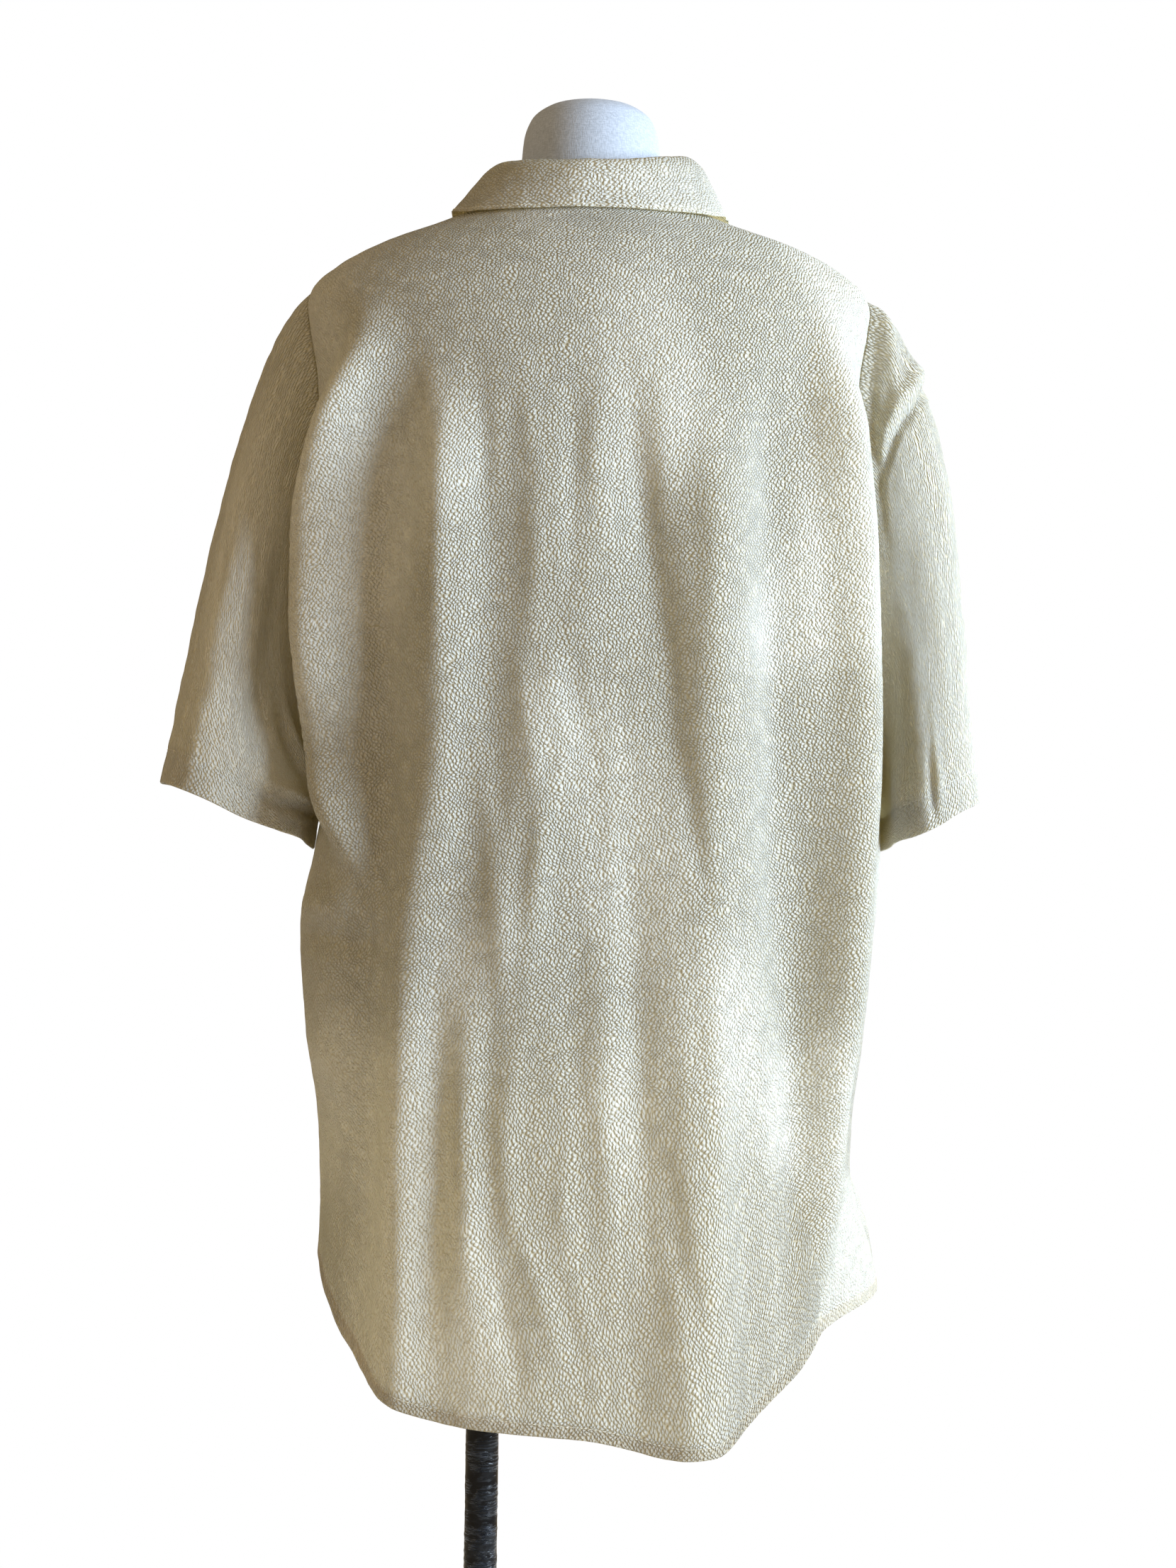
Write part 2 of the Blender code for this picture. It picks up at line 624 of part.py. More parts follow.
def collar_section(angle):
    """The collar from its neck seam up the stand, over the roll and down the fall."""
    seam = shirt_point(angle, NECK_LEVEL) + Vector((0, 0, 0.0012))
    roll = roll_point(angle)
    edge = collar_edge(angle)
    outward = Vector((edge.x - roll.x, edge.y - roll.y, 0)).normalized()
    down = Vector((0, 0, -1))
    return [
        seam - outward * 0.0015,
        seam.lerp(roll, 0.5) - outward * 0.002,
        roll - outward * 0.0015 + down * 0.003,
        roll + outward * 0.0012,
        roll + outward * 0.0048 + down * 0.0022,
        roll.lerp(edge, 0.4) + outward * 0.0035,
        roll.lerp(edge, 0.7) + outward * 0.0015,
        edge,
    ]


def make_collar(coat, collection):
    rows = [collar_section(angle) for angle in collar_turns(COLLAR_STATIONS)]
    return sheet("collar", rows, coat, collection)


def collar_turns(count):
    """The angles of the collar's sections: closer together where it lies over the shoulders."""
    first = math.radians(COLLAR_EDGE_ROWS[0][0])
    fine = np.linspace(first, math.pi - first, RING_SAMPLES)
    weight = 1 + 2.5 * np.exp(-((np.sin(fine) / 0.3) ** 2))
    length = np.concatenate([[0.0], np.cumsum((weight[1:] + weight[:-1]) / 2)])
    return np.interp(np.linspace(0, length[-1], count), length, fine)


def lapel_point(side, along, out):
    """A point of the facing turned out over its front: along the break line and out towards its edge."""
    level = LAPEL_START + (LAPEL_END - LAPEL_START) * along
    inner_x = front_edge_x(level) + 0.0012
    outer_x = front_edge_x(LAPEL_START) + 0.005
    outer_x += (LAPEL_TIP[0] - outer_x) * along**0.85
    outer_level = LAPEL_START + (LAPEL_TIP[1] - LAPEL_START) * along
    x = inner_x + (outer_x - inner_x) * out
    at = level + (outer_level - level) * out
    lift = CLOTH + LAY_GAP + (0.0006 if side > 0 else 0.0002) + 0.004 * along * (1 - out) ** 2
    if side > 0:
        lift += placket_lift(x, at)
    return raised(angle_at(side * x, at), at, lift)


def make_facing(name, side, coat, collection):
    rows = [[lapel_point(side, k / 9, i / 6) for i in range(7)] for k in range(10)]
    return sheet(name, rows if side > 0 else [row[::-1] for row in rows], coat, collection)


def make_button(number, coat, collection):
    level = BUTTON_TOP - (number - 1) * BUTTON_PITCH
    angle = angle_at(0.0, level)
    seat = raised(angle, level, placket_lift(0.0, level) + 0.0003)
    normal = shirt_normal(angle, level)
    rim, face = BUTTON_RADIUS, BUTTON_RADIUS - 0.0016
    profile = (
        (0.0, BUTTON_THICKNESS - 0.0007),
        (face, BUTTON_THICKNESS - 0.0007),
        (rim - 0.0009, BUTTON_THICKNESS),
        (rim, BUTTON_THICKNESS - 0.0008),
        (rim, 0.0008),
        (rim - 0.0012, 0.0),
        (0.0, 0.0),
    )
    obj = turned(f"button_{number}", profile, 14, coat, collection)
    obj.location = seat
    obj.rotation_mode = "QUATERNION"
    obj.rotation_quaternion = normal.to_track_quat("Z", "Y")
    return obj


def turned(name, profile, steps, coat, collection):
    """A solid of revolution about Z: the profile runs from the top on the axis to the bottom on the axis."""
    shape = bmesh.new()
    points = [shape.verts.new((radius, 0.0, height)) for radius, height in profile]
    for a, b in zip(points, points[1:]):
        shape.edges.new((a, b))
    mesh = bpy.data.meshes.new(name)
    shape.to_mesh(mesh)
    shape.free()
    obj = finished(mesh, name, coat, collection)
    spin = obj.modifiers.new("turn", "SCREW")
    spin.steps = steps
    spin.render_steps = steps
    spin.use_merge_vertices = True
    spin.merge_threshold = 0.00001
    spin.use_smooth_shade = True
    return obj


def make_torso(coat, collection):
    """A smooth lofted torso with its neck, closed by a flat underside and a domed top."""
    levels = sorted([row[0] for row in TORSO_ROWS] + list(TORSO_EXTRA_LEVELS))
    inset = {levels[0]: 0.95, levels[1]: 0.985}
    shape = bmesh.new()
    grid = []
    for level in levels:
        row = []
        for i in range(TORSO_ROUND):
            point = torso_point(2 * math.pi * i / TORSO_ROUND, level)
            share = inset.get(level, 1.0)
            row.append(shape.verts.new((BODY_X + (point.x - BODY_X) * share, point.y * share, point.z)))
        grid.append(row)
    for lower, upper in zip(grid, grid[1:]):
        for i in range(TORSO_ROUND):
            j = (i + 1) % TORSO_ROUND
            shape.faces.new((lower[i], lower[j], upper[j], upper[i]))
    shape.faces.new(grid[0][::-1])
    top = shape.verts.new((BODY_X, 0.0, NECK_TOP))
    for i in range(TORSO_ROUND):
        shape.faces.new((grid[-1][i], grid[-1][(i + 1) % TORSO_ROUND], top))
    mesh = bpy.data.meshes.new("form_torso")
    shape.to_mesh(mesh)
    shape.free()
    return finished(mesh, "form_torso", coat, collection)


def make_stand(coats, collection):
    base_profile = (
        (0.0, BASE_CROWN),
        (SOCKET_RADIUS + 0.004, BASE_CROWN),
        (BASE_RADIUS - 0.020, BASE_EDGE + 0.003),
        (BASE_RADIUS - 0.004, BASE_EDGE),
        (BASE_RADIUS, BASE_EDGE - 0.003),
        (BASE_RADIUS, 0.002),
        (BASE_RADIUS - 0.002, 0.0),
        (0.0, 0.0),
    )
    turned("form_base", base_profile, 40, coats["base"], collection)
    socket_bottom = BASE_CROWN + 0.0003
    socket_profile = (
        (0.0, socket_bottom + SOCKET_HEIGHT),
        (POLE_RADIUS + 0.002, socket_bottom + SOCKET_HEIGHT),
        (POLE_RADIUS + 0.005, socket_bottom + SOCKET_HEIGHT - 0.004),
        (POLE_RADIUS + 0.005, socket_bottom + 0.010),
        (SOCKET_RADIUS, socket_bottom + 0.005),
        (SOCKET_RADIUS, socket_bottom),
        (0.0, socket_bottom),
    )
    turned("form_socket", socket_profile, 20, coats["base"], collection)
    pole_bottom = socket_bottom + SOCKET_HEIGHT + 0.0003
    pole_profile = (
        (0.0, POLE_TOP),
        (POLE_RADIUS, POLE_TOP),
        (POLE_RADIUS, pole_bottom),
        (0.0, pole_bottom),
    )
    turned("form_pole", pole_profile, 20, coats["pole"], collection)
    flange_bottom = POLE_TOP + 0.0003
    flange_top = TORSO_ROWS[0][0] - 0.0003
    flange_profile = (
        (0.0, flange_top),
        (0.040, flange_top),
        (0.040, flange_bottom + 0.002),
        (0.036, flange_bottom),
        (0.0, flange_bottom),
    )
    turned("form_flange", flange_profile, 24, coats["base"], collection)


def main():
    for old in list(bpy.data.objects):
        bpy.data.objects.remove(old, do_unlink=True)
    collection = bpy.data.collections.new("oversized_shirt")
    bpy.context.scene.collection.children.link(collection)
    coats = {
        "cloth": material("crepe_cloth", (0.86, 0.82, 0.66), 0.85),
        "button": material("button", (0.88, 0.84, 0.72), 0.35),
        "form": material("form_jersey", (0.62, 0.64, 0.68), 0.9),
        "pole": material("pole_wrap", (0.012, 0.013, 0.018), 0.25),
        "base": material("stand_metal", (0.02, 0.02, 0.022), 0.4, 0.6),
    }
    make_torso(coats["form"], collection)
    make_stand(coats, collection)
    make_back(coats["cloth"], collection)
    make_front("front_left", 1, coats["cloth"], collection)
    make_front("front_right", -1, coats["cloth"], collection)
    make_sleeve("sleeve_left", 1, CUFF_LEFT, SLEEVE_FOLDS_LEFT, coats["cloth"], collection)
    make_sleeve("sleeve_right", -1, CUFF_RIGHT, SLEEVE_FOLDS_RIGHT, coats["cloth"], collection)
    make_collar(coats["cloth"], collection)
    make_facing("facing_left", 1, coats["cloth"], collection)
    make_facing("facing_right", -1, coats["cloth"], collection)
    for number in range(1, BUTTON_COUNT + 1):
        make_button(number, coats["button"], collection)


main()
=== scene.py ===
"""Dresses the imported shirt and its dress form: fine cloth on the forms of the solids, with its creases,
folded hems, stitching and buttons, the jersey of the form, its wrapped pole, the floor, the lights and the
camera.

Metres, +Z up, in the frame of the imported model. +Y is the wearer's back and +X the wearer's left.
"""

import math

import bpy
import numpy as np
from mathutils import Matrix, Vector, noise


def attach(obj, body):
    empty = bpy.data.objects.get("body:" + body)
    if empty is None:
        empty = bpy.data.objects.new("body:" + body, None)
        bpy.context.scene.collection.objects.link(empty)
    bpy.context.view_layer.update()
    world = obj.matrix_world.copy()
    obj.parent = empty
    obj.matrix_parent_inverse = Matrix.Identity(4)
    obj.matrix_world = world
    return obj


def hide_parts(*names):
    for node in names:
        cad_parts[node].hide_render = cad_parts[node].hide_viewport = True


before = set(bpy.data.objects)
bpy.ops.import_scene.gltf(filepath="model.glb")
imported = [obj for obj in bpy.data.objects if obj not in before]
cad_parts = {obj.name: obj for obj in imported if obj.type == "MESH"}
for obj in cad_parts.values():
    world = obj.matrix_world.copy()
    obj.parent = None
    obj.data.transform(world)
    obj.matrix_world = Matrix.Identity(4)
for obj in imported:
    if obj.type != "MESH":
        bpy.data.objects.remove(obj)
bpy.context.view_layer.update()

# Dress form
BODY_X = -0.068
POLE_RADIUS = 0.0125
POLE_TOP = 0.752
POLE_BOTTOM = 0.0706
BASE_RADIUS = 0.180
BASE_EDGE = 0.008
BASE_CROWN = 0.020
SOCKET_RADIUS = 0.024
NECK_TOP = 1.500
TORSO_FOOT = 0.760
FILM_RIDGE = 0.00035
FILM_SWELL = (0.0002, 0.02)

# Cloth
CLOTH = 0.0016
SHELL = 0.0008
HEM_FOLD = 0.009
CUFF_FOLD = 0.026
COLLAR_THICKNESS = 0.0013
FACING_THICKNESS = 0.0012
FOLD_INSET = 0.0012
SEAM_HALF = 0.00006

# Levels of the shirt, above the floor
NECK_LEVEL = 1.424
SHOULDER_LEVEL = 1.352
UNDERARM_LEVEL = 1.000
BREAK_LEVEL = 1.235
HEM_SIDE = 0.630
HEM_FADE_LEVEL = 0.760

HEM_COLUMNS = ("angle", "level")
HEM_ROWS = (
    (0, 0.63), (14, 0.618), (20, 0.606), (26, 0.594), (31, 0.58), (37, 0.566), (44, 0.552), (50, 0.5415),
    (58, 0.5325), (67, 0.5265), (90, 0.5205), (106, 0.508), (113, 0.509), (120, 0.5305), (125, 0.5465),
    (131, 0.562), (135, 0.576), (139, 0.59), (150, 0.599), (165, 0.603), (180, 0.604), (200, 0.6),
    (235, 0.56), (270, 0.535), (305, 0.556), (335, 0.6), (360, 0.63),
)

# Front edge
OVERLAP = 0.017
PLACKET_RAMP = (0.024, 0.044)
PLACKET_FADE = (1.280, 1.320)
PLACKET_RISE = 0.0009
BREAK_NECK_X = 0.050
BREAK_CURVE = 0.9
BUTTON_RADIUS = 0.0058
BUTTON_THICKNESS = 0.0026
BUTTON_COUNT = 6
BUTTON_PITCH = 0.098
BUTTON_TOP = 1.222

# Armhole, as angles on the body's rings
ARM_BACK_ANGLE = math.radians(16)
ARM_FRONT_ANGLE = math.radians(24)
ARM_REACH = math.radians(30)
ARM_LOW = 0.9
ARM_FULL = 0.48

# Collar: for each angle round the neck seam, where its outer edge lies across and up the body
COLLAR_EDGE_COLUMNS = ("angle", "across", "level")
COLLAR_EDGE_ROWS = (
    (-43, 0.108, 1.34), (-34, 0.114, 1.358), (-22, 0.114, 1.378), (-10, 0.108, 1.397), (0, 0.1035, 1.408),
    (14, 0.1, 1.4065), (32, 0.09, 1.4045), (52, 0.066, 1.4045), (72, 0.034, 1.4055), (90, 0, 1.4065),
)
COLLAR_RISE_COLUMNS = ("angle", "rise")
COLLAR_RISE_ROWS = ((-43, 0.003), (-20, 0.008), (0, 0.013), (35, 0.024), (90, 0.027))
ROLL_LEFT = 0.077
ROLL_RIGHT = 0.080
ROLL_RIGHT_LIFT = 0.010
ROLL_DEPTH_BACK = 0.071
ROLL_DEPTH_FRONT = 0.066
ROLL_EXPONENT = 2.1
COLLAR_BASE_GAP = 0.0012
COLLAR_LIFT = 0.0014
COLLAR_SIDE_LIFT = 0.0022

# Lapel: the level where it starts and ends along the break, and its tip across and up
LAPEL_START = 1.283
LAPEL_END = 1.398
LAPEL_TIP = (0.093, 1.318)
LAPEL_FOOT = 0.005
LAPEL_CURVE = 0.85
FACING_IN = 0.0012
FACING_LIFT_LEFT = 0.0011
FACING_LIFT_RIGHT = 0.0007
FACING_ROLL = 0.004

TORSO_COLUMNS = ("level", "half_width", "back", "front", "exponent", "drop")
TORSO_ROWS = (
    (0.76, 0.162, 0.106, 0.098, 2.3, 0), (0.8, 0.164, 0.109, 0.1, 2.3, 0),
    (0.88, 0.155, 0.106, 0.096, 2.2, 0), (0.98, 0.134, 0.095, 0.089, 2.1, 0),
    (1.06, 0.143, 0.099, 0.102, 2.1, 0), (1.15, 0.16, 0.106, 0.114, 2.2, 0),
    (1.22, 0.176, 0.108, 0.11, 2.3, 0.002), (1.28, 0.19, 0.103, 0.099, 2.3, 0.005),
    (1.32, 0.195, 0.096, 0.088, 2.2, 0.009), (1.348, 0.19, 0.089, 0.079, 2.1, 0.014),
    (1.368, 0.18, 0.083, 0.073, 2, 0.018), (1.3842, 0.1592, 0.077, 0.067, 2, 0.023),
    (1.396, 0.125, 0.07, 0.06, 2, 0.028), (1.407, 0.083, 0.064, 0.055, 2, 0.03),
    (1.422, 0.061, 0.058, 0.051, 2, 0.024), (1.444, 0.054, 0.055, 0.049, 2, 0.01),
    (1.47, 0.0515, 0.053, 0.048, 2, 0), (1.484, 0.0465, 0.048, 0.044, 2, 0),
    (1.4925, 0.036, 0.038, 0.034, 2, 0), (1.4965, 0.02, 0.022, 0.019, 2, 0),
)

SHIRT_COLUMNS = ("level", "left", "right", "back", "front", "exponent", "drop", "back_drop")
SHIRT_ROWS = (
    (0.48, 0.188, 0.222, 0.15, 0.15, 2.3, 0, 0), (0.56, 0.196, 0.23, 0.149, 0.15, 2.4, 0, 0),
    (0.6, 0.195, 0.23, 0.148, 0.15, 2.4, 0, 0), (0.63, 0.194, 0.225, 0.148, 0.15, 2.4, 0, 0),
    (0.66, 0.193, 0.215, 0.147, 0.149, 2.4, 0, 0), (0.695, 0.194, 0.208, 0.147, 0.149, 2.4, 0, 0),
    (0.73, 0.196, 0.209, 0.146, 0.149, 2.4, 0, 0), (0.79, 0.205, 0.216, 0.143, 0.147, 2.5, 0, 0),
    (0.87, 0.211, 0.223, 0.14, 0.146, 2.6, 0, 0), (0.93, 0.201, 0.227, 0.137, 0.145, 2.6, 0, 0),
    (1, 0.19, 0.223, 0.134, 0.145, 2.7, 0, 0), (1.07, 0.203, 0.219, 0.131, 0.143, 2.7, 0, 0),
    (1.14, 0.205, 0.212, 0.127, 0.139, 2.7, 0, 0), (1.22, 0.204, 0.208, 0.122, 0.13, 2.6, 0.002, 0),
    (1.28, 0.206, 0.207, 0.116, 0.117, 2.5, 0.005, 0), (1.32, 0.212, 0.212, 0.109, 0.103, 2.3, 0.009, 0),
    (1.34, 0.214, 0.214, 0.104, 0.095, 2.2, 0.012, 0), (1.352, 0.211, 0.211, 0.1, 0.09, 2.1, 0.015, 0),
    (1.37, 0.192, 0.192, 0.094, 0.082, 2, 0.019, 0), (1.387, 0.16, 0.16, 0.087, 0.074, 2, 0.023, 0.002),
    (1.402, 0.12, 0.116, 0.08, 0.068, 2, 0.028, 0.005),
    (1.413, 0.093, 0.089, 0.075, 0.064, 2, 0.031, 0.008),
    (1.424, 0.072, 0.068, 0.07, 0.061, 2, 0.03, 0.012),
)

# The solids' own hanging folds: side of the body, levels where each starts and ends, its place across at
# five levels, its half width and how far it stands out
FOLD_COLUMNS = ("side", "start", "end", "x_1300", "x_1150", "x_1000", "x_850", "x_600", "half_width", "rise")
FOLD_LEVELS = (0.600, 0.850, 1.000, 1.150, 1.300)
FOLD_ROWS = (
    (1, 1.35, 0.93, 0.16, 0.19, 0.177, 0.156, 0.15, 0.02, 0.026),
    (1, 1.31, 0.56, 0.132, 0.145, 0.142, 0.15, 0.156, 0.024, -0.009),
    (1, 1.07, 0.935, 0.206, 0.206, 0.204, 0.206, 0.206, 0.028, -0.02),
    (1, 1.3, 0.45, 0.11, 0.103, 0.104, 0.123, 0.124, 0.026, 0.009),
    (1, 1.27, 0.45, 0.084, 0.062, 0.07, 0.092, 0.101, 0.022, -0.0035),
    (1, 1.26, 0.82, 0.024, 0.014, 0.03, 0.046, 0.05, 0.022, 0.003),
    (1, 0.88, 0.6, 0.086, 0.086, 0.086, 0.082, 0.08, 0.018, 0.003),
    (1, 1.29, 0.78, -0.014, -0.044, -0.07, -0.092, -0.1, 0.024, -0.0035),
    (1, 1.27, 0.45, -0.084, -0.096, -0.092, -0.09, -0.088, 0.029, 0.013),
    (1, 1.31, 0.62, -0.138, -0.136, -0.146, -0.156, -0.178, 0.025, -0.011),
    (1, 1.35, 0.64, -0.178, -0.192, -0.196, -0.188, -0.17, 0.02, 0.025),
    (-1, 1.32, 0.5, 0.152, 0.164, 0.16, 0.156, 0.15, 0.026, 0.018),
    (-1, 1.28, 0.5, 0.11, 0.112, 0.11, 0.108, 0.1, 0.024, -0.008),
    (-1, 1.22, 0.5, 0.07, 0.068, 0.066, 0.064, 0.06, 0.022, 0.006),
    (-1, 1.32, 0.5, -0.154, -0.166, -0.164, -0.158, -0.15, 0.026, 0.018),
    (-1, 1.27, 0.5, -0.112, -0.12, -0.122, -0.118, -0.112, 0.024, -0.009),
    (-1, 1.21, 0.5, -0.072, -0.074, -0.07, -0.068, -0.064, 0.022, 0.006),
    (-1, 0.8, 0.4, -0.204, -0.204, -0.204, -0.204, -0.214, 0.055, 0.016),
)
FOLD_FADE = 0.110
SIDE_CALM = (0.06, 0.30)

# Finer creases laid over them, in millimetres: the place across and the level of the start, of a point that
# bends the line and of the end, then half width and rise; a trough is negative
BACK_CREASES = (
    (168, 1320, 186, 1140, 178, 985, 13, 7.5), (146, 1300, 154, 1120, 150, 960, 13, -4.5),
    (110, 1290, 98, 1180, 104, 1060, 9, 2.6), (80, 1300, 70, 1200, 66, 1090, 9, -2.2),
    (47, 1290, 30, 1180, 35, 1060, 8, 2.2), (15, 1275, 0, 1190, 17, 1080, 8, -2.2),
    (18, 1110, 6, 1050, -4, 985, 8, -1.8), (-7, 1285, -11, 1210, -16, 1130, 8, 2.2),
    (-22, 1310, -52, 1130, -70, 980, 7, -3), (-68, 1020, -78, 965, -90, 880, 7, -3),
    (-76, 1290, -74, 1190, -84, 1090, 9, -1.8), (-52, 1290, -50, 1220, -60, 1140, 8, 1.8),
    (50, 1095, 28, 1000, 32, 880, 8, 2), (12, 1040, 24, 930, 36, 820, 8, 1.8),
    (30, 1010, 40, 930, 46, 860, 7, -1.8), (78, 1040, 54, 910, 54, 810, 8, 2.4),
    (104, 860, 92, 720, 104, 560, 9, -4), (122, 850, 130, 700, 116, 590, 9, 2.6),
    (74, 840, 84, 700, 68, 580, 9, 2.8), (56, 840, 70, 740, 52, 640, 7, -2),
    (34, 820, 60, 720, 36, 640, 8, 2.2), (44, 690, 22, 620, 4, 560, 8, 2.2),
    (10, 720, 4, 640, -16, 570, 7, 1.8), (58, 660, 46, 600, 36, 545, 7, -2.2),
    (-36, 990, -40, 800, -58, 600, 9, -2.4), (-56, 740, -78, 640, -96, 545, 8, -2.8),
    (-20, 880, -14, 760, -32, 640, 9, 1.8), (4, 900, 2, 800, 14, 700, 8, -1.6),
    (-100, 900, -98, 740, -94, 560, 10, 2), (-174, 860, -190, 760, -184, 670, 10, -3.4),
    (-198, 740, -180, 660, -170, 580, 9, 3.4), (-158, 700, -156, 630, -148, 560, 9, -2.2),
    (-162, 1330, -158, 1230, -176, 1100, 10, -2.6), (-118, 1280, -114, 1120, -124, 960, 10, 1.8),
    (-140, 1060, -134, 940, -142, 820, 10, -1.8), (-200, 1250, -206, 1120, -206, 980, 7, 1.8),
    (-20, 1290, -20, 1000, -21, 700, 3.2, 0.8), (128, 1310, 120, 1200, 128, 1110, 9, -2),
    (150, 1180, 156, 1080, 146, 980, 8, -1.8), (214, 884, 180, 900, 134, 880, 11, 4.6),
    (214, 862, 178, 872, 132, 858, 9, -4.4), (200, 1010, 170, 960, 150, 900, 10, 3.4),
    (196, 960, 172, 930, 158, 880, 8, -3), (208, 800, 180, 780, 150, 720, 10, 2.2),
    (190, 760, 176, 680, 158, 610, 10, -2.2),
)
FRONT_CREASES = (
    (128, 1220, 120, 1080, 128, 930, 10, 2.4), (94, 1140, 86, 1000, 94, 860, 9, -2.6),
    (132, 900, 124, 780, 134, 640, 10, -2.8), (84, 860, 78, 740, 88, 620, 9, 2.4),
    (200, 1000, 168, 950, 140, 880, 9, 3), (194, 960, 160, 900, 134, 850, 9, -2.8),
    (52, 1060, 50, 940, 54, 820, 9, 1.8), (100, 1330, 112, 1290, 132, 1230, 9, -2.2),
    (-132, 1230, -128, 1090, -138, 950, 10, -2.6), (-94, 1160, -100, 1010, -92, 870, 9, 2.6),
    (-136, 930, -126, 800, -136, 650, 10, 2.6), (-90, 840, -84, 720, -94, 590, 9, -2.4),
    (-200, 1000, -168, 940, -140, 880, 9, 2.8), (-58, 1020, -54, 880, -62, 750, 9, -2),
    (-104, 1320, -116, 1280, -136, 1220, 9, -2.2), (70, 1230, 60, 1110, 68, 960, 7, 3),
    (110, 1180, 104, 1020, 112, 840, 8, 3.4), (146, 1160, 142, 1000, 148, 800, 8, -3.2),
    (40, 960, 44, 820, 36, 640, 7, -2.6), (110, 800, 104, 700, 108, 590, 7, 3),
    (-76, 1240, -72, 1100, -80, 940, 7, 3), (-116, 1150, -118, 1000, -110, 830, 8, -3.4),
    (-152, 1170, -148, 1010, -156, 820, 8, 3.2), (-42, 930, -46, 800, -38, 620, 7, 2.4),
    (-112, 780, -106, 680, -114, 580, 7, 3), (30, 1300, 50, 1250, 56, 1180, 7, -2),
    (-34, 1290, -52, 1240, -58, 1170, 7, 2),
)

CUFF_COLUMNS = ("outer_x", "outer_z", "inner_x", "inner_z", "half_depth", "mid_y", "back_lift", "lean",
                "shoulder_fall", "shoulder_pull")
CUFF_LEFT = (0.321, 0.975, 0.2045, 0.927, 0.086, -0.007, 0.009, 0.22, 0.80, 0.211)
CUFF_RIGHT = (0.299, 0.970, 0.229, 0.932, 0.080, -0.006, 0.004, 0.150, 0.54, 0.258)
UNDERARM_FALL = 0.45
UNDERARM_PULL = 0.045
# How the sleeve spreads, arrives at the cuff and faces out: under the arm, and what the shoulder adds
SLEEVE_SPREAD = (0.45, 0.4)
SLEEVE_ARRIVE = (0.9, -0.1)
SLEEVE_OUT_UP = 0.25

# Folds of a sleeve: where round the tube (0 underarm, 0.25 back, 0.5 shoulder, 0.75 front), share of the
# length where it starts, half width round the tube, and how far it stands out
SLEEVE_FOLD_COLUMNS = ("turn", "start", "half_width", "rise")
SLEEVE_FOLDS_LEFT = (
    (0.34, 0.1, 0.045, 0.006), (0.22, 0.15, 0.05, -0.006), (0.1, 0.3, 0.04, 0.006),
    (0.66, 0.15, 0.05, 0.006), (0.8, 0.2, 0.05, -0.008),
)
SLEEVE_FOLDS_RIGHT = (
    (0.4, 0.08, 0.04, 0.006), (0.27, 0.08, 0.055, -0.005), (0.12, 0.3, 0.04, 0.005),
    (0.64, 0.15, 0.05, 0.006), (0.79, 0.2, 0.05, -0.009),
)

# Creases of a sleeve: turn and share of the start, of the bend and of the end, then half width and rise
SLEEVE_CREASES_LEFT = (
    (0.155, 0.38, 0.13, 0.52, 0.03, 0.6, 0.009, 0.005), (0.175, 0.4, 0.17, 0.56, 0.08, 0.66, 0.008, -0.003),
    (0.04, 0.64, 0.11, 0.76, 0.21, 0.82, 0.009, 0.0034), (0.03, 0.72, 0.1, 0.84, 0.2, 0.9, 0.008, -0.0028),
    (0.24, 0.3, 0.26, 0.48, 0.24, 0.7, 0.01, 0.002), (0.42, 0.12, 0.36, 0.34, 0.38, 0.56, 0.01, 0.0022),
    (0.46, 0.3, 0.43, 0.5, 0.44, 0.74, 0.01, -0.0018), (0.3, 0.72, 0.33, 0.86, 0.32, 0.99, 0.01, 0.0018),
    (0.6, 0.2, 0.64, 0.45, 0.62, 0.7, 0.01, 0.0024), (0.7, 0.25, 0.69, 0.5, 0.72, 0.8, 0.009, -0.0026),
    (0.78, 0.5, 0.84, 0.62, 0.94, 0.66, 0.009, 0.003),
)
SLEEVE_CREASES_RIGHT = (
    (0.51, 0.262, 0.37, 0.262, 0.28, 0.09, 0.005, -0.0074),
    (0.51, 0.222, 0.37, 0.224, 0.3, 0.08, 0.008, 0.0056), (0.5, 0.3, 0.39, 0.3, 0.29, 0.16, 0.007, -0.0012),
    (0.5, 0.04, 0.39, 0.08, 0.35, 0.21, 0.009, 0.003), (0.43, 0.02, 0.3, 0.06, 0.26, 0.16, 0.009, -0.0036),
    (0.242, 0.74, 0.238, 0.86, 0.236, 0.99, 0.006, -0.003),
    (0.27, 0.64, 0.266, 0.82, 0.262, 0.99, 0.008, 0.0024),
    (0.33, 0.38, 0.35, 0.56, 0.32, 0.76, 0.01, 0.002), (0.4, 0.46, 0.41, 0.66, 0.39, 0.88, 0.01, -0.0018),
    (0.18, 0.56, 0.15, 0.74, 0.14, 0.9, 0.009, -0.0024), (0.6, 0.18, 0.64, 0.4, 0.63, 0.68, 0.01, 0.0024),
    (0.7, 0.25, 0.69, 0.5, 0.72, 0.82, 0.009, -0.0026), (0.79, 0.52, 0.85, 0.64, 0.95, 0.68, 0.009, 0.0028),
)
SLEEVE_GIRTH = 0.50
SLEEVE_LENGTH = 0.34

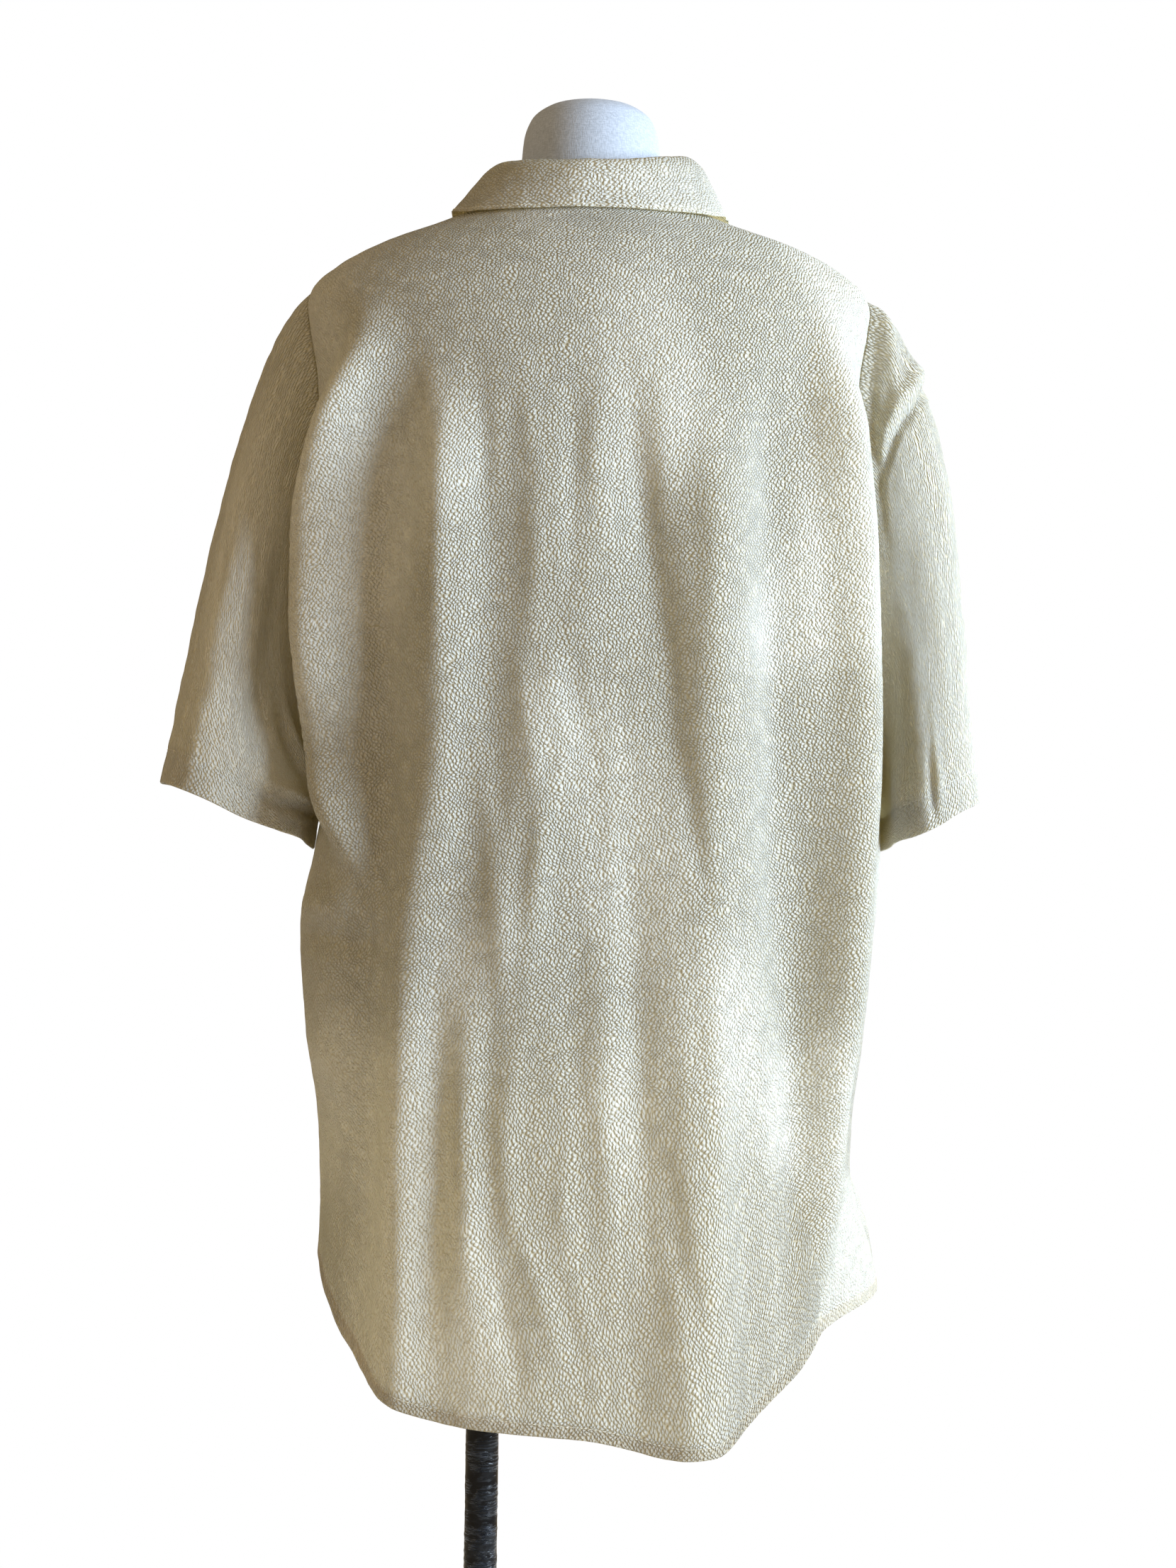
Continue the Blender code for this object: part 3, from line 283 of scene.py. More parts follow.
# Unevenness of the cloth: its height and its pitch
WIDE_STREAK = (0.0011, 0.026)
NARROW_STREAK = (0.00065, 0.0135)
STREAK_LEAN = 0.05
STREAK_FADE = (1.20, 1.33)
WANDER = (0.0035, 0.045)
BODY_CRINKLE = (0.00030, 0.0085)
HEM_PUCKER = (0.0006, 0.008)
SLEEVE_CRINKLE = (0.00035, 0.0085)
SLEEVE_SWELL = (0.0011, 0.032)
SLEEVE_WAVE = (0.0006, 0.013)
CUFF_PUCKER = (0.0005, 0.009)
COLLAR_CRINKLE = (0.0003, 0.0080)
COLLAR_SWELL = (0.0010, 0.026)
FACING_CRINKLE = (0.0003, 0.008)
STITCH_DENT = -0.00035
TAPER_END = 0.02
CREASE_REACH = 2.6

# Mesh density
CELL = 0.0040
FINE = 0.0012
ARM_ROWS = 90
SHOULDER_ROWS = 37
RING_SAMPLES = 361
HEM_INSIDE = np.arange(HEM_FOLD, 0.0006, -0.0018)
HEM_OUTSIDE = np.arange(0.0, 0.0125, FINE)
HEM_STRETCH = 1.8
PAST_HEM = 0.1
SEED = Vector((3.7, 1.9, 8.2))


def table(columns, rows):
    """A table's columns as arrays, by name."""
    return {name: np.array([row[i] for row in rows], float) for i, name in enumerate(columns)}


TORSO = table(TORSO_COLUMNS, TORSO_ROWS)
SHIRT = table(SHIRT_COLUMNS, SHIRT_ROWS)
HEM = table(HEM_COLUMNS, HEM_ROWS)
COLLAR_EDGE = table(COLLAR_EDGE_COLUMNS, COLLAR_EDGE_ROWS)
COLLAR_RISE = table(COLLAR_RISE_COLUMNS, COLLAR_RISE_ROWS)
FOLDS = [dict(zip(FOLD_COLUMNS, row)) for row in FOLD_ROWS]


def hermite(start, end, leave, arrive, t):
    """The cubic that runs from start to end and leaves and arrives by the given slopes."""
    return (
        start * (2 * t**3 - 3 * t**2 + 1)
        + leave * (t**3 - 2 * t**2 + t)
        + end * (3 * t**2 - 2 * t**3)
        + arrive * (t**3 - t**2)
    )


def curve(knots, values, at):
    """A monotone cubic through the values, for an array of places."""
    at = np.clip(at, knots[0], knots[-1])
    slopes = np.diff(values) / np.diff(knots)
    tangents = np.concatenate([slopes[:1], np.zeros(len(slopes) - 1), slopes[-1:]])
    agree = np.flatnonzero(slopes[:-1] * slopes[1:] > 0)
    tangents[agree + 1] = 2 * slopes[agree] * slopes[agree + 1] / (slopes[agree] + slopes[agree + 1])
    i = np.clip(np.searchsorted(knots, at) - 1, 0, len(knots) - 2)
    span = knots[i + 1] - knots[i]
    t = (at - knots[i]) / span
    return hermite(values[i], values[i + 1], span * tangents[i], span * tangents[i + 1], t)


def smoothstep(low, high, value):
    t = np.clip((value - low) / (high - low), 0.0, 1.0)
    return t * t * (3 - 2 * t)


def signed_power(value, power):
    return np.sign(value) * np.abs(value) ** power


def unit(vectors):
    return vectors / np.linalg.norm(vectors, axis=-1, keepdims=True)


def even_turns(count):
    return np.linspace(0, 2 * math.pi, count + 1)[:-1]


def circle(radius, level, count, x=0.0, y=0.0):
    """Points evenly round a level circle."""
    return [(x + radius * math.cos(turn), y + radius * math.sin(turn), level) for turn in even_turns(count)]


def bell(distance, width):
    """1 at the middle of a soft ridge, and near 0 beyond its width."""
    return np.exp(-((distance / width) ** 2))


def stacked(x, y, z):
    return np.stack(np.broadcast_arrays(x, y, z), axis=-1)


def running(steps, axis=0):
    """The running sum of steps, from 0."""
    return np.concatenate([np.zeros_like(np.take(steps, [0], axis)), np.cumsum(steps, axis=axis)], axis=axis)


def ripple(points, pitch):
    """Smooth seeded noise from -1 to 1 at each point, with bumps of about that pitch."""
    flat = np.asarray(points, float).reshape(-1, 3) / pitch
    values = [noise.noise(Vector(point) + SEED) for point in flat]
    return np.array(values).reshape(np.shape(points)[:-1])


def unevenness(points, kind):
    height, pitch = kind
    return height * ripple(points, pitch)


def shirt_size(name, level):
    return curve(SHIRT["level"], SHIRT[name], level)


def shirt_ring(angle, level):
    """Points of the shirt's plain rings, without folds, with the sizes there."""
    at = {name: shirt_size(name, level) for name in SHIRT_COLUMNS[1:]}
    at["half_width"] = np.where(np.cos(angle) >= 0, at["left"], at["right"])
    at["depth"] = np.where(np.sin(angle) >= 0, at["back"], at["front"])
    x = at["half_width"] * signed_power(np.cos(angle), 2 / at["exponent"])
    y = at["depth"] * signed_power(np.sin(angle), 2 / at["exponent"])
    return x, y, at


def ring_angle(x, level, back):
    """The angle where the ring is x across from the body axis, on its back or front half."""
    half_width = np.where(x >= 0, shirt_size("left", level), shirt_size("right", level))
    share = np.minimum(1.0, np.abs(x) / half_width)
    turn = np.arccos(np.copysign(share ** (shirt_size("exponent", level) / 2), x))
    return turn if back else -turn


def fold_height(x, y, level, back):
    """How far the solids' own hanging folds push the cloth out at places of the plain ring."""
    total = np.zeros(np.shape(x))
    for fold in FOLDS:
        grown = smoothstep(-fold["start"], -fold["start"] + FOLD_FADE, -level)
        ended = smoothstep(fold["end"] - FOLD_FADE / 2, fold["end"] + FOLD_FADE / 2, level)
        across = np.array([fold[f"x_{round(at * 1000)}"] for at in FOLD_LEVELS])
        crest = curve(np.array(FOLD_LEVELS), across, level)
        crest_x, crest_y, _ = shirt_ring(ring_angle(crest, level, fold["side"] > 0), level)
        away = (x - crest_x) ** 2 + (y - crest_y) ** 2
        height = fold["rise"] * grown * ended * np.exp(-away / fold["half_width"] ** 2)
        total += np.where(back == (fold["side"] > 0), height, 0.0)
    return total


def creases_over(u, v, rows):
    """Height of soft creases over a flat field: each row is its two ends and a bend, half width and rise."""
    total = np.zeros(np.shape(u))
    t = np.linspace(0, 1, 33)
    weights = ((1 - t) ** 2, 2 * t * (1 - t), t**2)
    for u0, v0, u1, v1, u2, v2, half_width, rise in rows:
        line_u = weights[0] * u0 + weights[1] * u1 + weights[2] * u2
        line_v = weights[0] * v0 + weights[1] * v1 + weights[2] * v2
        reach = CREASE_REACH * half_width
        near = (u > line_u.min() - reach) & (u < line_u.max() + reach)
        near &= (v > line_v.min() - reach) & (v < line_v.max() + reach)
        if not near.any():
            continue
        away = (u[near][:, None] - line_u) ** 2 + (v[near][:, None] - line_v) ** 2
        nearest = np.argmin(away, axis=1)
        taper = np.sin(np.pi * np.clip(t[nearest], TAPER_END, 1 - TAPER_END)) ** 0.8
        total[near] += rise * taper * bell(np.sqrt(away.min(axis=1)), half_width)
    return total


def long_ripples(x, level, back):
    """Fine uneven streaks that run down the hanging cloth and fade out over the shoulders."""
    place = stacked(x + STREAK_LEAN * (level - 1.0) * np.sign(x), back * 2.0, level)
    hung = smoothstep(-STREAK_FADE[1], -STREAK_FADE[0], -level)
    wide = ripple(place * (1, 1, 0.17), WIDE_STREAK[1])
    narrow = ripple(place * (1, 1, 0.20) + (5.0, 0, 0), NARROW_STREAK[1])
    return hung * (WIDE_STREAK[0] * wide + NARROW_STREAK[0] * narrow)


def crease_height(x, level, back):
    """The finer creases of the body, each wandering a little off its line."""
    place = stacked(x, np.where(back, 1.0, 2.0), level)
    u = x + WANDER[0] * ripple(place, WANDER[1])
    v = level + WANDER[0] * ripple(place + 9.0, WANDER[1])
    total = long_ripples(x, level, back)
    for on_back, rows in ((True, BACK_CREASES), (False, FRONT_CREASES)):
        total = total + np.where(back == on_back, creases_over(u, v, np.array(rows) / 1000), 0.0)
    return total


def shirt_points(angle, level, fine=True):
    """Points of the cloth's outer face: the solid's own form, and the finer creases on it."""
    angle, level = np.broadcast_arrays(np.asarray(angle, float), np.asarray(level, float))
    x, y, at = shirt_ring(angle, level)
    back = np.sin(angle) >= 0
    power = at["exponent"] - 1
    gradient = stacked(
        signed_power(x / at["half_width"], power) / at["half_width"],
        signed_power(y / at["depth"], power) / at["depth"],
        0.0,
    )
    calm = smoothstep(*SIDE_CALM, np.abs(np.sin(angle)))
    push = fold_height(x, y, level, back) * calm
    if fine:
        push = push + crease_height(x, level, back) * calm
    front_share = np.maximum(0.0, -np.sin(angle)) ** 1.5
    back_share = np.maximum(0.0, np.sin(angle)) ** 1.5
    drop = at["drop"] * front_share + at["back_drop"] * back_share
    return stacked(BODY_X + x, y, level - drop) + unit(gradient) * push[..., None]


def shirt_normals(angle, level, fine=True):
    step = 0.004
    low = np.maximum(level - step, SHIRT_ROWS[0][0])
    high = np.minimum(level + step, NECK_LEVEL)
    along = shirt_points(angle + step, level, fine) - shirt_points(angle - step, level, fine)
    up = shirt_points(angle, high, fine) - shirt_points(angle, low, fine)
    return unit(np.cross(along, up))


def raised(angle, level, lift, fine=True):
    """Points that far outside the cloth's outer face."""
    lift = np.asarray(lift, float)[..., None]
    return shirt_points(angle, level, fine) + shirt_normals(angle, level, fine) * lift


def hem_level(angle):
    return curve(HEM["angle"], HEM["level"], np.degrees(angle) % 360)


def even_angles(level, start, end, count):
    """Angles from start to end that space a row's points evenly along the ring."""
    fine = np.linspace(start, end, RING_SAMPLES)
    x, y, _ = shirt_ring(fine, np.full(fine.shape, level))
    length = running(np.hypot(np.diff(x), np.diff(y)))
    return np.interp(np.linspace(0, length[-1], count + 1), length, fine)


def arm_angle(level, limit):
    """How far round the ring the armhole reaches at a level."""
    t = (level - UNDERARM_LEVEL) / (SHOULDER_LEVEL - UNDERARM_LEVEL)
    inside = (t > 0) & (t < 1)
    bow = np.sin(np.pi * np.clip(t, 0, 1) ** ARM_LOW) ** ARM_FULL
    return np.where(inside, limit * bow, 0.0)


def seam_angle(level, back):
    """The angle that leaves a side or shoulder seam's half gap between the panels."""
    at = shirt_ring(np.array(0.1 if back else -0.1), np.array(level))[2]
    return float(np.arcsin((SEAM_HALF / at["depth"]) ** (at["exponent"] / 2)))


def give_way(angles, trim):
    """Moves the columns near the side, at 0, back from the armhole and leaves the rest where they are."""
    reach = trim + ARM_REACH
    return np.where(angles < reach, trim + angles * (reach - trim) / reach, angles)


def arm_levels(count):
    share = np.linspace(0, 1, count + 1)
    return UNDERARM_LEVEL + (SHOULDER_LEVEL - UNDERARM_LEVEL) * (1 - np.cos(math.pi * share)) / 2


def upper_levels():
    """The rows above the hem's reach: down the side, beside the armhole, and over the shoulder."""
    side = np.linspace(HEM_FADE_LEVEL, UNDERARM_LEVEL, round((UNDERARM_LEVEL - HEM_FADE_LEVEL) / CELL) + 1)
    arm = arm_levels(ARM_ROWS)
    shoulder = np.linspace(SHOULDER_LEVEL, NECK_LEVEL, SHOULDER_ROWS)
    return np.concatenate([side, arm[4:-3], shoulder])


def front_edge_x(level):
    """Where a front's free edge runs: past the centre below the break, then open to the neck."""
    open_share = np.clip((level - BREAK_LEVEL) / (NECK_LEVEL - BREAK_LEVEL), 0, 1)
    return -OVERLAP + (BREAK_NECK_X + OVERLAP) * open_share**BREAK_CURVE


def placket_lift(x, level):
    """The upper front rises over the lower one where they overlap."""
    height = CLOTH + PLACKET_RISE
    return height * (1 - smoothstep(*PLACKET_RAMP, x)) * (1 - smoothstep(*PLACKET_FADE, level))


def back_angles(level, count):
    trim = arm_angle(level, ARM_BACK_ANGLE) + seam_angle(level, back=True)
    angles = even_angles(level, 0.0, math.pi, count)
    half = count // 2
    angles[:half] = give_way(angles[:half], trim)
    angles[half + 1 :] = math.pi - give_way(math.pi - angles[half + 1 :], trim)
    return angles


def front_angles(level, side, count):
    trim = arm_angle(level, ARM_FRONT_ANGLE) + seam_angle(level, back=False)
    edge = float(ring_angle(side * front_edge_x(level), level, False))
    if side > 0:
        return -give_way(-even_angles(level, edge, 0.0, count), trim)
    return -math.pi + give_way(even_angles(level, edge, -math.pi, count) + math.pi, trim)


def hem_stretch(angles, hem):
    """How much longer the way up from a slanting hem is than the same way down a side seam."""
    ring = shirt_points(angles, hem, fine=False)
    run = np.linalg.norm(np.gradient(ring[:, :2], axis=0), axis=1)
    slope = np.abs(np.gradient(hem)) / np.maximum(run, 1e-6)
    return np.minimum(np.hypot(1.0, slope), HEM_STRETCH)


def body_rows(angles_at, count):
    """A body panel's rows: angles, levels, way in from the outer face, and distance from the folded edge."""
    low = angles_at(HEM_SIDE, count)
    hem = hem_level(low)
    stretch = hem_stretch(low, hem)
    rows = [(low, hem + distance * stretch, SHELL + FOLD_INSET, distance) for distance in HEM_INSIDE]
    rows.append((low, hem - 0.0004, 0.0010, 0.0))
    rows += [(low, hem + distance * stretch, 0.0, distance) for distance in HEM_OUTSIDE]
    top = hem + HEM_OUTSIDE[-1] * stretch
    count_above = round((HEM_FADE_LEVEL - HEM_SIDE + 0.06) / CELL)
    for share in np.linspace(0, 1, count_above + 1)[1:-1]:
        rows.append((low, top * (1 - share) + HEM_FADE_LEVEL * share, 0.0, PAST_HEM))
    for level in upper_levels():
        rows.append((angles_at(level, count), np.full(low.shape, level), 0.0, PAST_HEM))
    angles, levels, inward, distance = zip(*rows)
    return np.array(angles), np.array(levels), np.array(inward)[:, None], np.array(distance)[:, None]


def hem_row(distance):
    """The row of a body panel at a distance up its outer face from the folded edge."""
    return len(HEM_INSIDE) + 1 + round(distance / FINE)


def body_grid(angles_at, count, lift=None):
    """The outer face of one body panel, with its folded hem."""
    angles, levels, inward, distance = body_rows(angles_at, count)
    points = shirt_points(angles, levels)
    pucker = unevenness(points * (1, 1, 0.35), HEM_PUCKER) * bell(distance, 0.010)
    dent = STITCH_DENT * bell(distance - HEM_FOLD + 0.001, 0.0011)
    offset = pucker + dent + unevenness(points, BODY_CRINKLE) - inward
    if lift is not None:
        offset = offset + lift(points[..., 0] - BODY_X, levels)
    return points + shirt_normals(angles, levels) * offset[..., None]


def flat_coordinates(grid, closed=False, anchor=0.5):
    """Flat coordinates in metres of the grid's points: along the rows from the anchor, and across them."""
    if closed:
        grid = np.concatenate([grid, grid[:, :1]], axis=1)
    u = running(np.linalg.norm(np.diff(grid, axis=1), axis=2), axis=1)
    u -= u[:, -1:] * anchor
    step = np.diff(grid, axis=0)
    tangent = unit(np.gradient(grid, axis=1)[:-1] + 1e-12)
    up = np.linalg.norm(step - tangent * (step * tangent).sum(axis=2, keepdims=True), axis=2).mean(axis=1)
    return u, np.broadcast_to(running(up)[:, None], u.shape)


def new_object(name, mesh):
    obj = bpy.data.objects.new(name, mesh)
    bpy.context.scene.collection.objects.link(obj)
    return obj


def quad_corners(values):
    """The four corner values of each cell of a grid, in turn round the cell."""
    return np.stack([values[:-1, :-1], values[:-1, 1:], values[1:, 1:], values[1:, :-1]], axis=-1)


def cloth_sheet(name, grid, closed=False, thickness=SHELL, hem_rows=0, anchor=0.5):
    """A shell whose outer face is the grid of points, with flat coordinates in metres for its weave."""
    rows, columns = grid.shape[:2]
    index = np.arange(rows * columns).reshape(rows, columns)
    if closed:
        index = np.concatenate([index, index[:, :1]], axis=1)
    faces = quad_corners(index).reshape(-1, 4)
    corners = [quad_corners(coordinate).reshape(-1) for coordinate in flat_coordinates(grid, closed, anchor)]
    mesh = bpy.data.meshes.new(name)
    mesh.from_pydata(grid.reshape(-1, 3).tolist(), [], faces.tolist())
    layer = mesh.uv_layers.new(name="flat")
    layer.data.foreach_set("uv", np.stack(corners, axis=-1).reshape(-1))
    # Rows of the folded hem band, which the crepe material paints browner as painted shade
    hem_painted_shade_mask = np.repeat(np.arange(rows) < hem_rows, columns).astype(np.float32)
    mesh.attributes.new("hem", "FLOAT", "POINT").data.foreach_set("value", hem_painted_shade_mask)
    mesh.shade_smooth()
    obj = new_object(name, mesh)
    wall = obj.modifiers.new("cloth", "SOLIDIFY")
    wall.thickness = thickness
    wall.offset = -1.0
    return obj


def ring_mesh(name, rows, top, bottom):
    """A closed smooth body from rings of points, with a fan to a point at each end."""
    count = len(rows[0])
    points = [tuple(point) for row in rows for point in row]
    faces = []
    for k in range(len(rows) - 1):
        for i in range(count):
            j = (i + 1) % count
            faces.append((k * count + i, k * count + j, (k + 1) * count + j, (k + 1) * count + i))
    last = (len(rows) - 1) * count
    points += [tuple(top), tuple(bottom)]
    for i in range(count):
        j = (i + 1) % count
        faces.append((last + i, last + j, last + count))
        faces.append((j, i, last + count + 1))
    mesh = bpy.data.meshes.new(name)
    mesh.from_pydata(points, [], faces)
    mesh.shade_smooth()
    return new_object(name, mesh)


# Nodes of materials


class Nodes:
    """Builds one procedural material."""

    def __init__(self, name):
        self.material = bpy.data.materials.new(name)
        self.material.use_nodes = True
        self.tree = self.material.node_tree
        self.shader = self.tree.nodes["Principled BSDF"]
        self.output = self.tree.nodes["Material Output"]

    def add(self, kind, inputs=None, **settings):
        made = self.tree.nodes.new(kind)
        for key, value in settings.items():
            setattr(made, key, value)
        for key, value in (inputs or {}).items():
            if isinstance(value, bpy.types.NodeSocket):
                self.tree.links.new(value, made.inputs[key])
            else:
                made.inputs[key].default_value = value
        return made

    def math(self, operation, a, b=0.0):
        return self.add("ShaderNodeMath", {0: a, 1: b}, operation=operation).outputs[0]

    def place(self):
        return self.add("ShaderNodeTexCoord").outputs["Object"]

    def scaled(self, vector, scale, turned=(0.0, 0.0, 0.0)):
        inputs = {"Vector": vector, "Scale": scale, "Rotation": turned}
        return self.add("ShaderNodeMapping", inputs).outputs[0]

    def noise(self, vector, scale, detail=2.0, rough=0.5):
        inputs = {"Vector": vector, "Scale": scale, "Detail": detail, "Roughness": rough}
        return self.add("ShaderNodeTexNoise", inputs).outputs["Fac"]

    def ramp(self, value, low, high, a=0.0, b=1.0):
        made = self.add("ShaderNodeMapRange", {"Value": value, 1: low, 2: high, 3: a, 4: b})
        made.interpolation_type = "SMOOTHSTEP"
        return made.outputs[0]

    def blend(self, share, a, b):
        made = self.add("ShaderNodeMix", {"Factor": share}, data_type="RGBA")
        for key, value in (("A", a), ("B", b)):
            socket = [s for s in made.inputs if s.name == key and s.type == "RGBA"][0]
            if isinstance(value, bpy.types.NodeSocket):
                self.tree.links.new(value, socket)
            else:
                socket.default_value = (*value, 1.0)
        return [s for s in made.outputs if s.type == "RGBA"][0]

    def bump(self, height, distance, strength=1.0):
        inputs = {"Height": height, "Distance": distance, "Strength": strength}
        return self.add("ShaderNodeBump", inputs).outputs[0]

    def finish(self, colour, roughness, normal, **constants):
        for key, value in (("Base Color", colour), ("Roughness", roughness), ("Normal", normal)):
            if isinstance(value, bpy.types.NodeSocket):
                self.tree.links.new(value, self.shader.inputs[key])
            elif value is not None:
                self.shader.inputs[key].default_value = value
        for key, value in constants.items():
            self.shader.inputs[key.replace("_", " ")].default_value = value
        return self.material


CREPE_CELL = 0.0025
CREPE_RELIEF = 0.0019
CREPE_SLANT = 0.62
CREPE_SHIFT = 0.0060
CREPE_LIGHT_THROUGH = 0.50
CREPE_PALE = (0.90, 0.90, 0.875)
# Colour of the painted shade in the crepe's pits, between its cells
CREPE_PIT_PAINTED_SHADE = (0.64, 0.60, 0.50)
CREPE_CLOUD = (0.80, 0.77, 0.67)
CREPE_THROUGH = (0.97, 0.89, 0.62)
# Colour of the painted shade on the hem band
CREPE_HEM_PAINTED_SHADE = (0.66, 0.53, 0.35)


def crepe_relief(nodes, flat):
    """Height of the crepe: round cells in slanting rows, drawn into level waves where it hangs slack."""
    sway = nodes.add("ShaderNodeTexNoise", {"Vector": flat, "Scale": 70.0, "Detail": 1.0}).outputs["Color"]
    shift = nodes.add("ShaderNodeVectorMath", {0: sway, 1: (0.5, 0.5, 0.5)}, operation="SUBTRACT").outputs[0]
    shift = nodes.add("ShaderNodeVectorMath", {0: shift, "Scale": CREPE_SHIFT}, operation="SCALE").outputs[0]
    place = nodes.add("ShaderNodeVectorMath", {0: flat, 1: shift}, operation="ADD").outputs[0]
    slanted = nodes.scaled(place, (1.08, 0.92, 1.0), (0.0, 0.0, CREPE_SLANT))
    inputs = {"Vector": slanted, "Scale": 1 / CREPE_CELL, "Randomness": 0.45}
    cell = nodes.add("ShaderNodeTexVoronoi", inputs, voronoi_dimensions="2D", feature="F1")
    popcorn = nodes.ramp(cell.outputs["Distance"], 0.10, 0.68, 1.0, 0.0)
    wave = nodes.noise(nodes.scaled(place, (105.0, 430.0, 1.0)), 1.0, 1.5, 0.5)
    slack = nodes.ramp(nodes.noise(nodes.scaled(flat, (6.0, 4.0, 1.0)), 1.0, 1.0), 0.42, 0.62)
    cells = nodes.math("MULTIPLY", popcorn, nodes.ramp(slack, 0.0, 1.0, 1.0, 0.6))
    waves = nodes.math("MULTIPLY", wave, nodes.ramp(slack, 0.0, 1.0, 0.3, 1.2))
    return nodes.math("ADD", cells, waves)


def crepe_material():
    """Butter-yellow popcorn crepe that lets light through, with painted shade: darker in the pits between
    its cells, and browner on the hem band for the shade and the lesser light through the doubled cloth.
    """
    nodes = Nodes("crepe_cloth_fine")
    flat = nodes.add("ShaderNodeUVMap", uv_map="flat").outputs[0]
    height = crepe_relief(nodes, flat)
    normal = nodes.bump(height, CREPE_RELIEF, 1.0)
    mottle = nodes.noise(nodes.scaled(flat, (24.0, 16.0, 1.0)), 1.0, 3.0)
    # Painted shade: the pits between the crepe's cells are painted darker and browner, standing in for the
    # shade that falls in them
    colour = nodes.blend(nodes.ramp(height, 0.1, 0.95), CREPE_PIT_PAINTED_SHADE, CREPE_PALE)
    colour = nodes.blend(nodes.ramp(mottle, 0.3, 0.7, 0.0, 0.12), colour, CREPE_CLOUD)
    # Painted shade: the hem band is painted browner, standing in for the shade and the lesser light through
    # the doubled cloth
    hem = nodes.add("ShaderNodeAttribute", attribute_name="hem").outputs["Fac"]
    colour = nodes.blend(nodes.math("MULTIPLY", hem, 0.35), colour, CREPE_HEM_PAINTED_SHADE)
    rough = nodes.ramp(mottle, 0.2, 0.8, 0.80, 0.92)
    material = nodes.finish(colour, rough, normal, Sheen_Weight=0.10, Specular_IOR_Level=0.25)
    through = nodes.add("ShaderNodeBsdfTranslucent", {"Color": (*CREPE_THROUGH, 1.0), "Normal": normal})
    inputs = {0: CREPE_LIGHT_THROUGH, 1: nodes.shader.outputs[0], 2: through.outputs[0]}
    mix = nodes.add("ShaderNodeMixShader", inputs)
    nodes.tree.links.new(mix.outputs[0], nodes.output.inputs["Surface"])
    return material


def thread_material():
    nodes = Nodes("sewing_thread")
    place = nodes.place()
    twist = nodes.noise(nodes.scaled(place, (1800.0, 1800.0, 1800.0)), 1.0, 1.0)
    colour = nodes.blend(nodes.ramp(twist, 0.35, 0.65), (0.66, 0.60, 0.45), (0.84, 0.79, 0.65))
    return nodes.finish(colour, 0.6, nodes.bump(twist, 0.0001, 0.5), Sheen_Weight=0.2)


def jersey_material():
    """Pale grey jersey: fine knit wales with a soft fuzz."""
    nodes = Nodes("form_jersey_fine")
    place = nodes.place()
    wales = nodes.noise(nodes.scaled(place, (1400.0, 1400.0, 260.0)), 1.0, 2.0)
    courses = nodes.noise(nodes.scaled(place, (260.0, 260.0, 1500.0)), 1.0, 2.0)
    height = nodes.math("ADD", wales, courses)
    cloud = nodes.noise(place, 14.0, 2.0)
    colour = nodes.blend(nodes.ramp(height, 0.7, 1.3), (0.31, 0.335, 0.38), (0.43, 0.46, 0.52))
    colour = nodes.blend(nodes.ramp(cloud, 0.35, 0.65, 0.0, 0.12), colour, (0.50, 0.51, 0.54))
    rough = nodes.ramp(cloud, 0.3, 0.7, 0.82, 0.92)
    return nodes.finish(colour, rough, nodes.bump(height, 0.0003, 0.6), Sheen_Weight=0.10)


def film_material():
    """Black film wound round the pole: glossy, with fine wrinkles that run nearly level round it, their
    ridges painted lighter as painted highlights.
    """
    nodes = Nodes("pole_wrap_fine")
    place = nodes.place()
    wrinkle = nodes.noise(nodes.scaled(place, (42.0, 42.0, 330.0), (0.10, 0.16, 0.0)), 1.0, 2.5, 0.6)
    ridge = nodes.ramp(nodes.math("ABSOLUTE", nodes.math("SUBTRACT", wrinkle, 0.5)), 0.0, 0.07, 1.0, 0.0)
    broad = nodes.noise(nodes.scaled(place, (60.0, 60.0, 90.0)), 1.0, 2.0)
    # The wrinkle ridges raise the bump and carry the painted highlight in the colour
    shown = nodes.math("MULTIPLY", ridge, nodes.ramp(broad, 0.42, 0.62))
    height = nodes.math("ADD", shown, nodes.math("MULTIPLY", broad, 0.8))
    # Painted highlight: the wrinkle ridges are painted lighter than the black film, standing in for the
    # highlight strokes on them
    colour = nodes.blend(shown, (0.002, 0.003, 0.005), (0.024, 0.029, 0.040))
    rough = nodes.ramp(broad, 0.3, 0.7, 0.16, 0.32)
    return nodes.finish(colour, rough, nodes.bump(height, 0.0009, 0.9), Specular_IOR_Level=0.35)


def metal_material():
    """Black powder-coated steel: a fine orange peel, with faint rubbed places."""
    nodes = Nodes("stand_metal_fine")
    place = nodes.place()
    peel = nodes.noise(place, 900.0, 2.0)
    rub = nodes.noise(place, 22.0, 4.0, 0.6)
    colour = nodes.blend(nodes.ramp(rub, 0.45, 0.75), (0.012, 0.012, 0.014), (0.030, 0.030, 0.033))
    rough = nodes.ramp(rub, 0.3, 0.7, 0.34, 0.52)
    return nodes.finish(colour, rough, nodes.bump(peel, 0.0003, 0.5), Metallic=0.6)


def button_material():
    """Pale resin with soft clouds, like a plain shirt button."""
    nodes = Nodes("button_fine")
    place = nodes.place()
    cloud = nodes.noise(place, 260.0, 3.0, 0.6)
    colour = nodes.blend(nodes.ramp(cloud, 0.35, 0.7), (0.80, 0.75, 0.61), (0.90, 0.87, 0.78))
    rough = nodes.ramp(cloud, 0.3, 0.7, 0.22, 0.34)
    return nodes.finish(colour, rough, nodes.bump(cloud, 0.0001, 0.3), Coat_Weight=0.25)


def floor_material():
    nodes = Nodes("floor_paper")
    place = nodes.place()
    grain = nodes.noise(place, 60.0, 3.0)
    colour = nodes.blend(nodes.ramp(grain, 0.3, 0.7), (0.86, 0.86, 0.855), (0.885, 0.885, 0.88))
    return nodes.finish(colour, 0.9, nodes.bump(grain, 0.0004, 0.3))


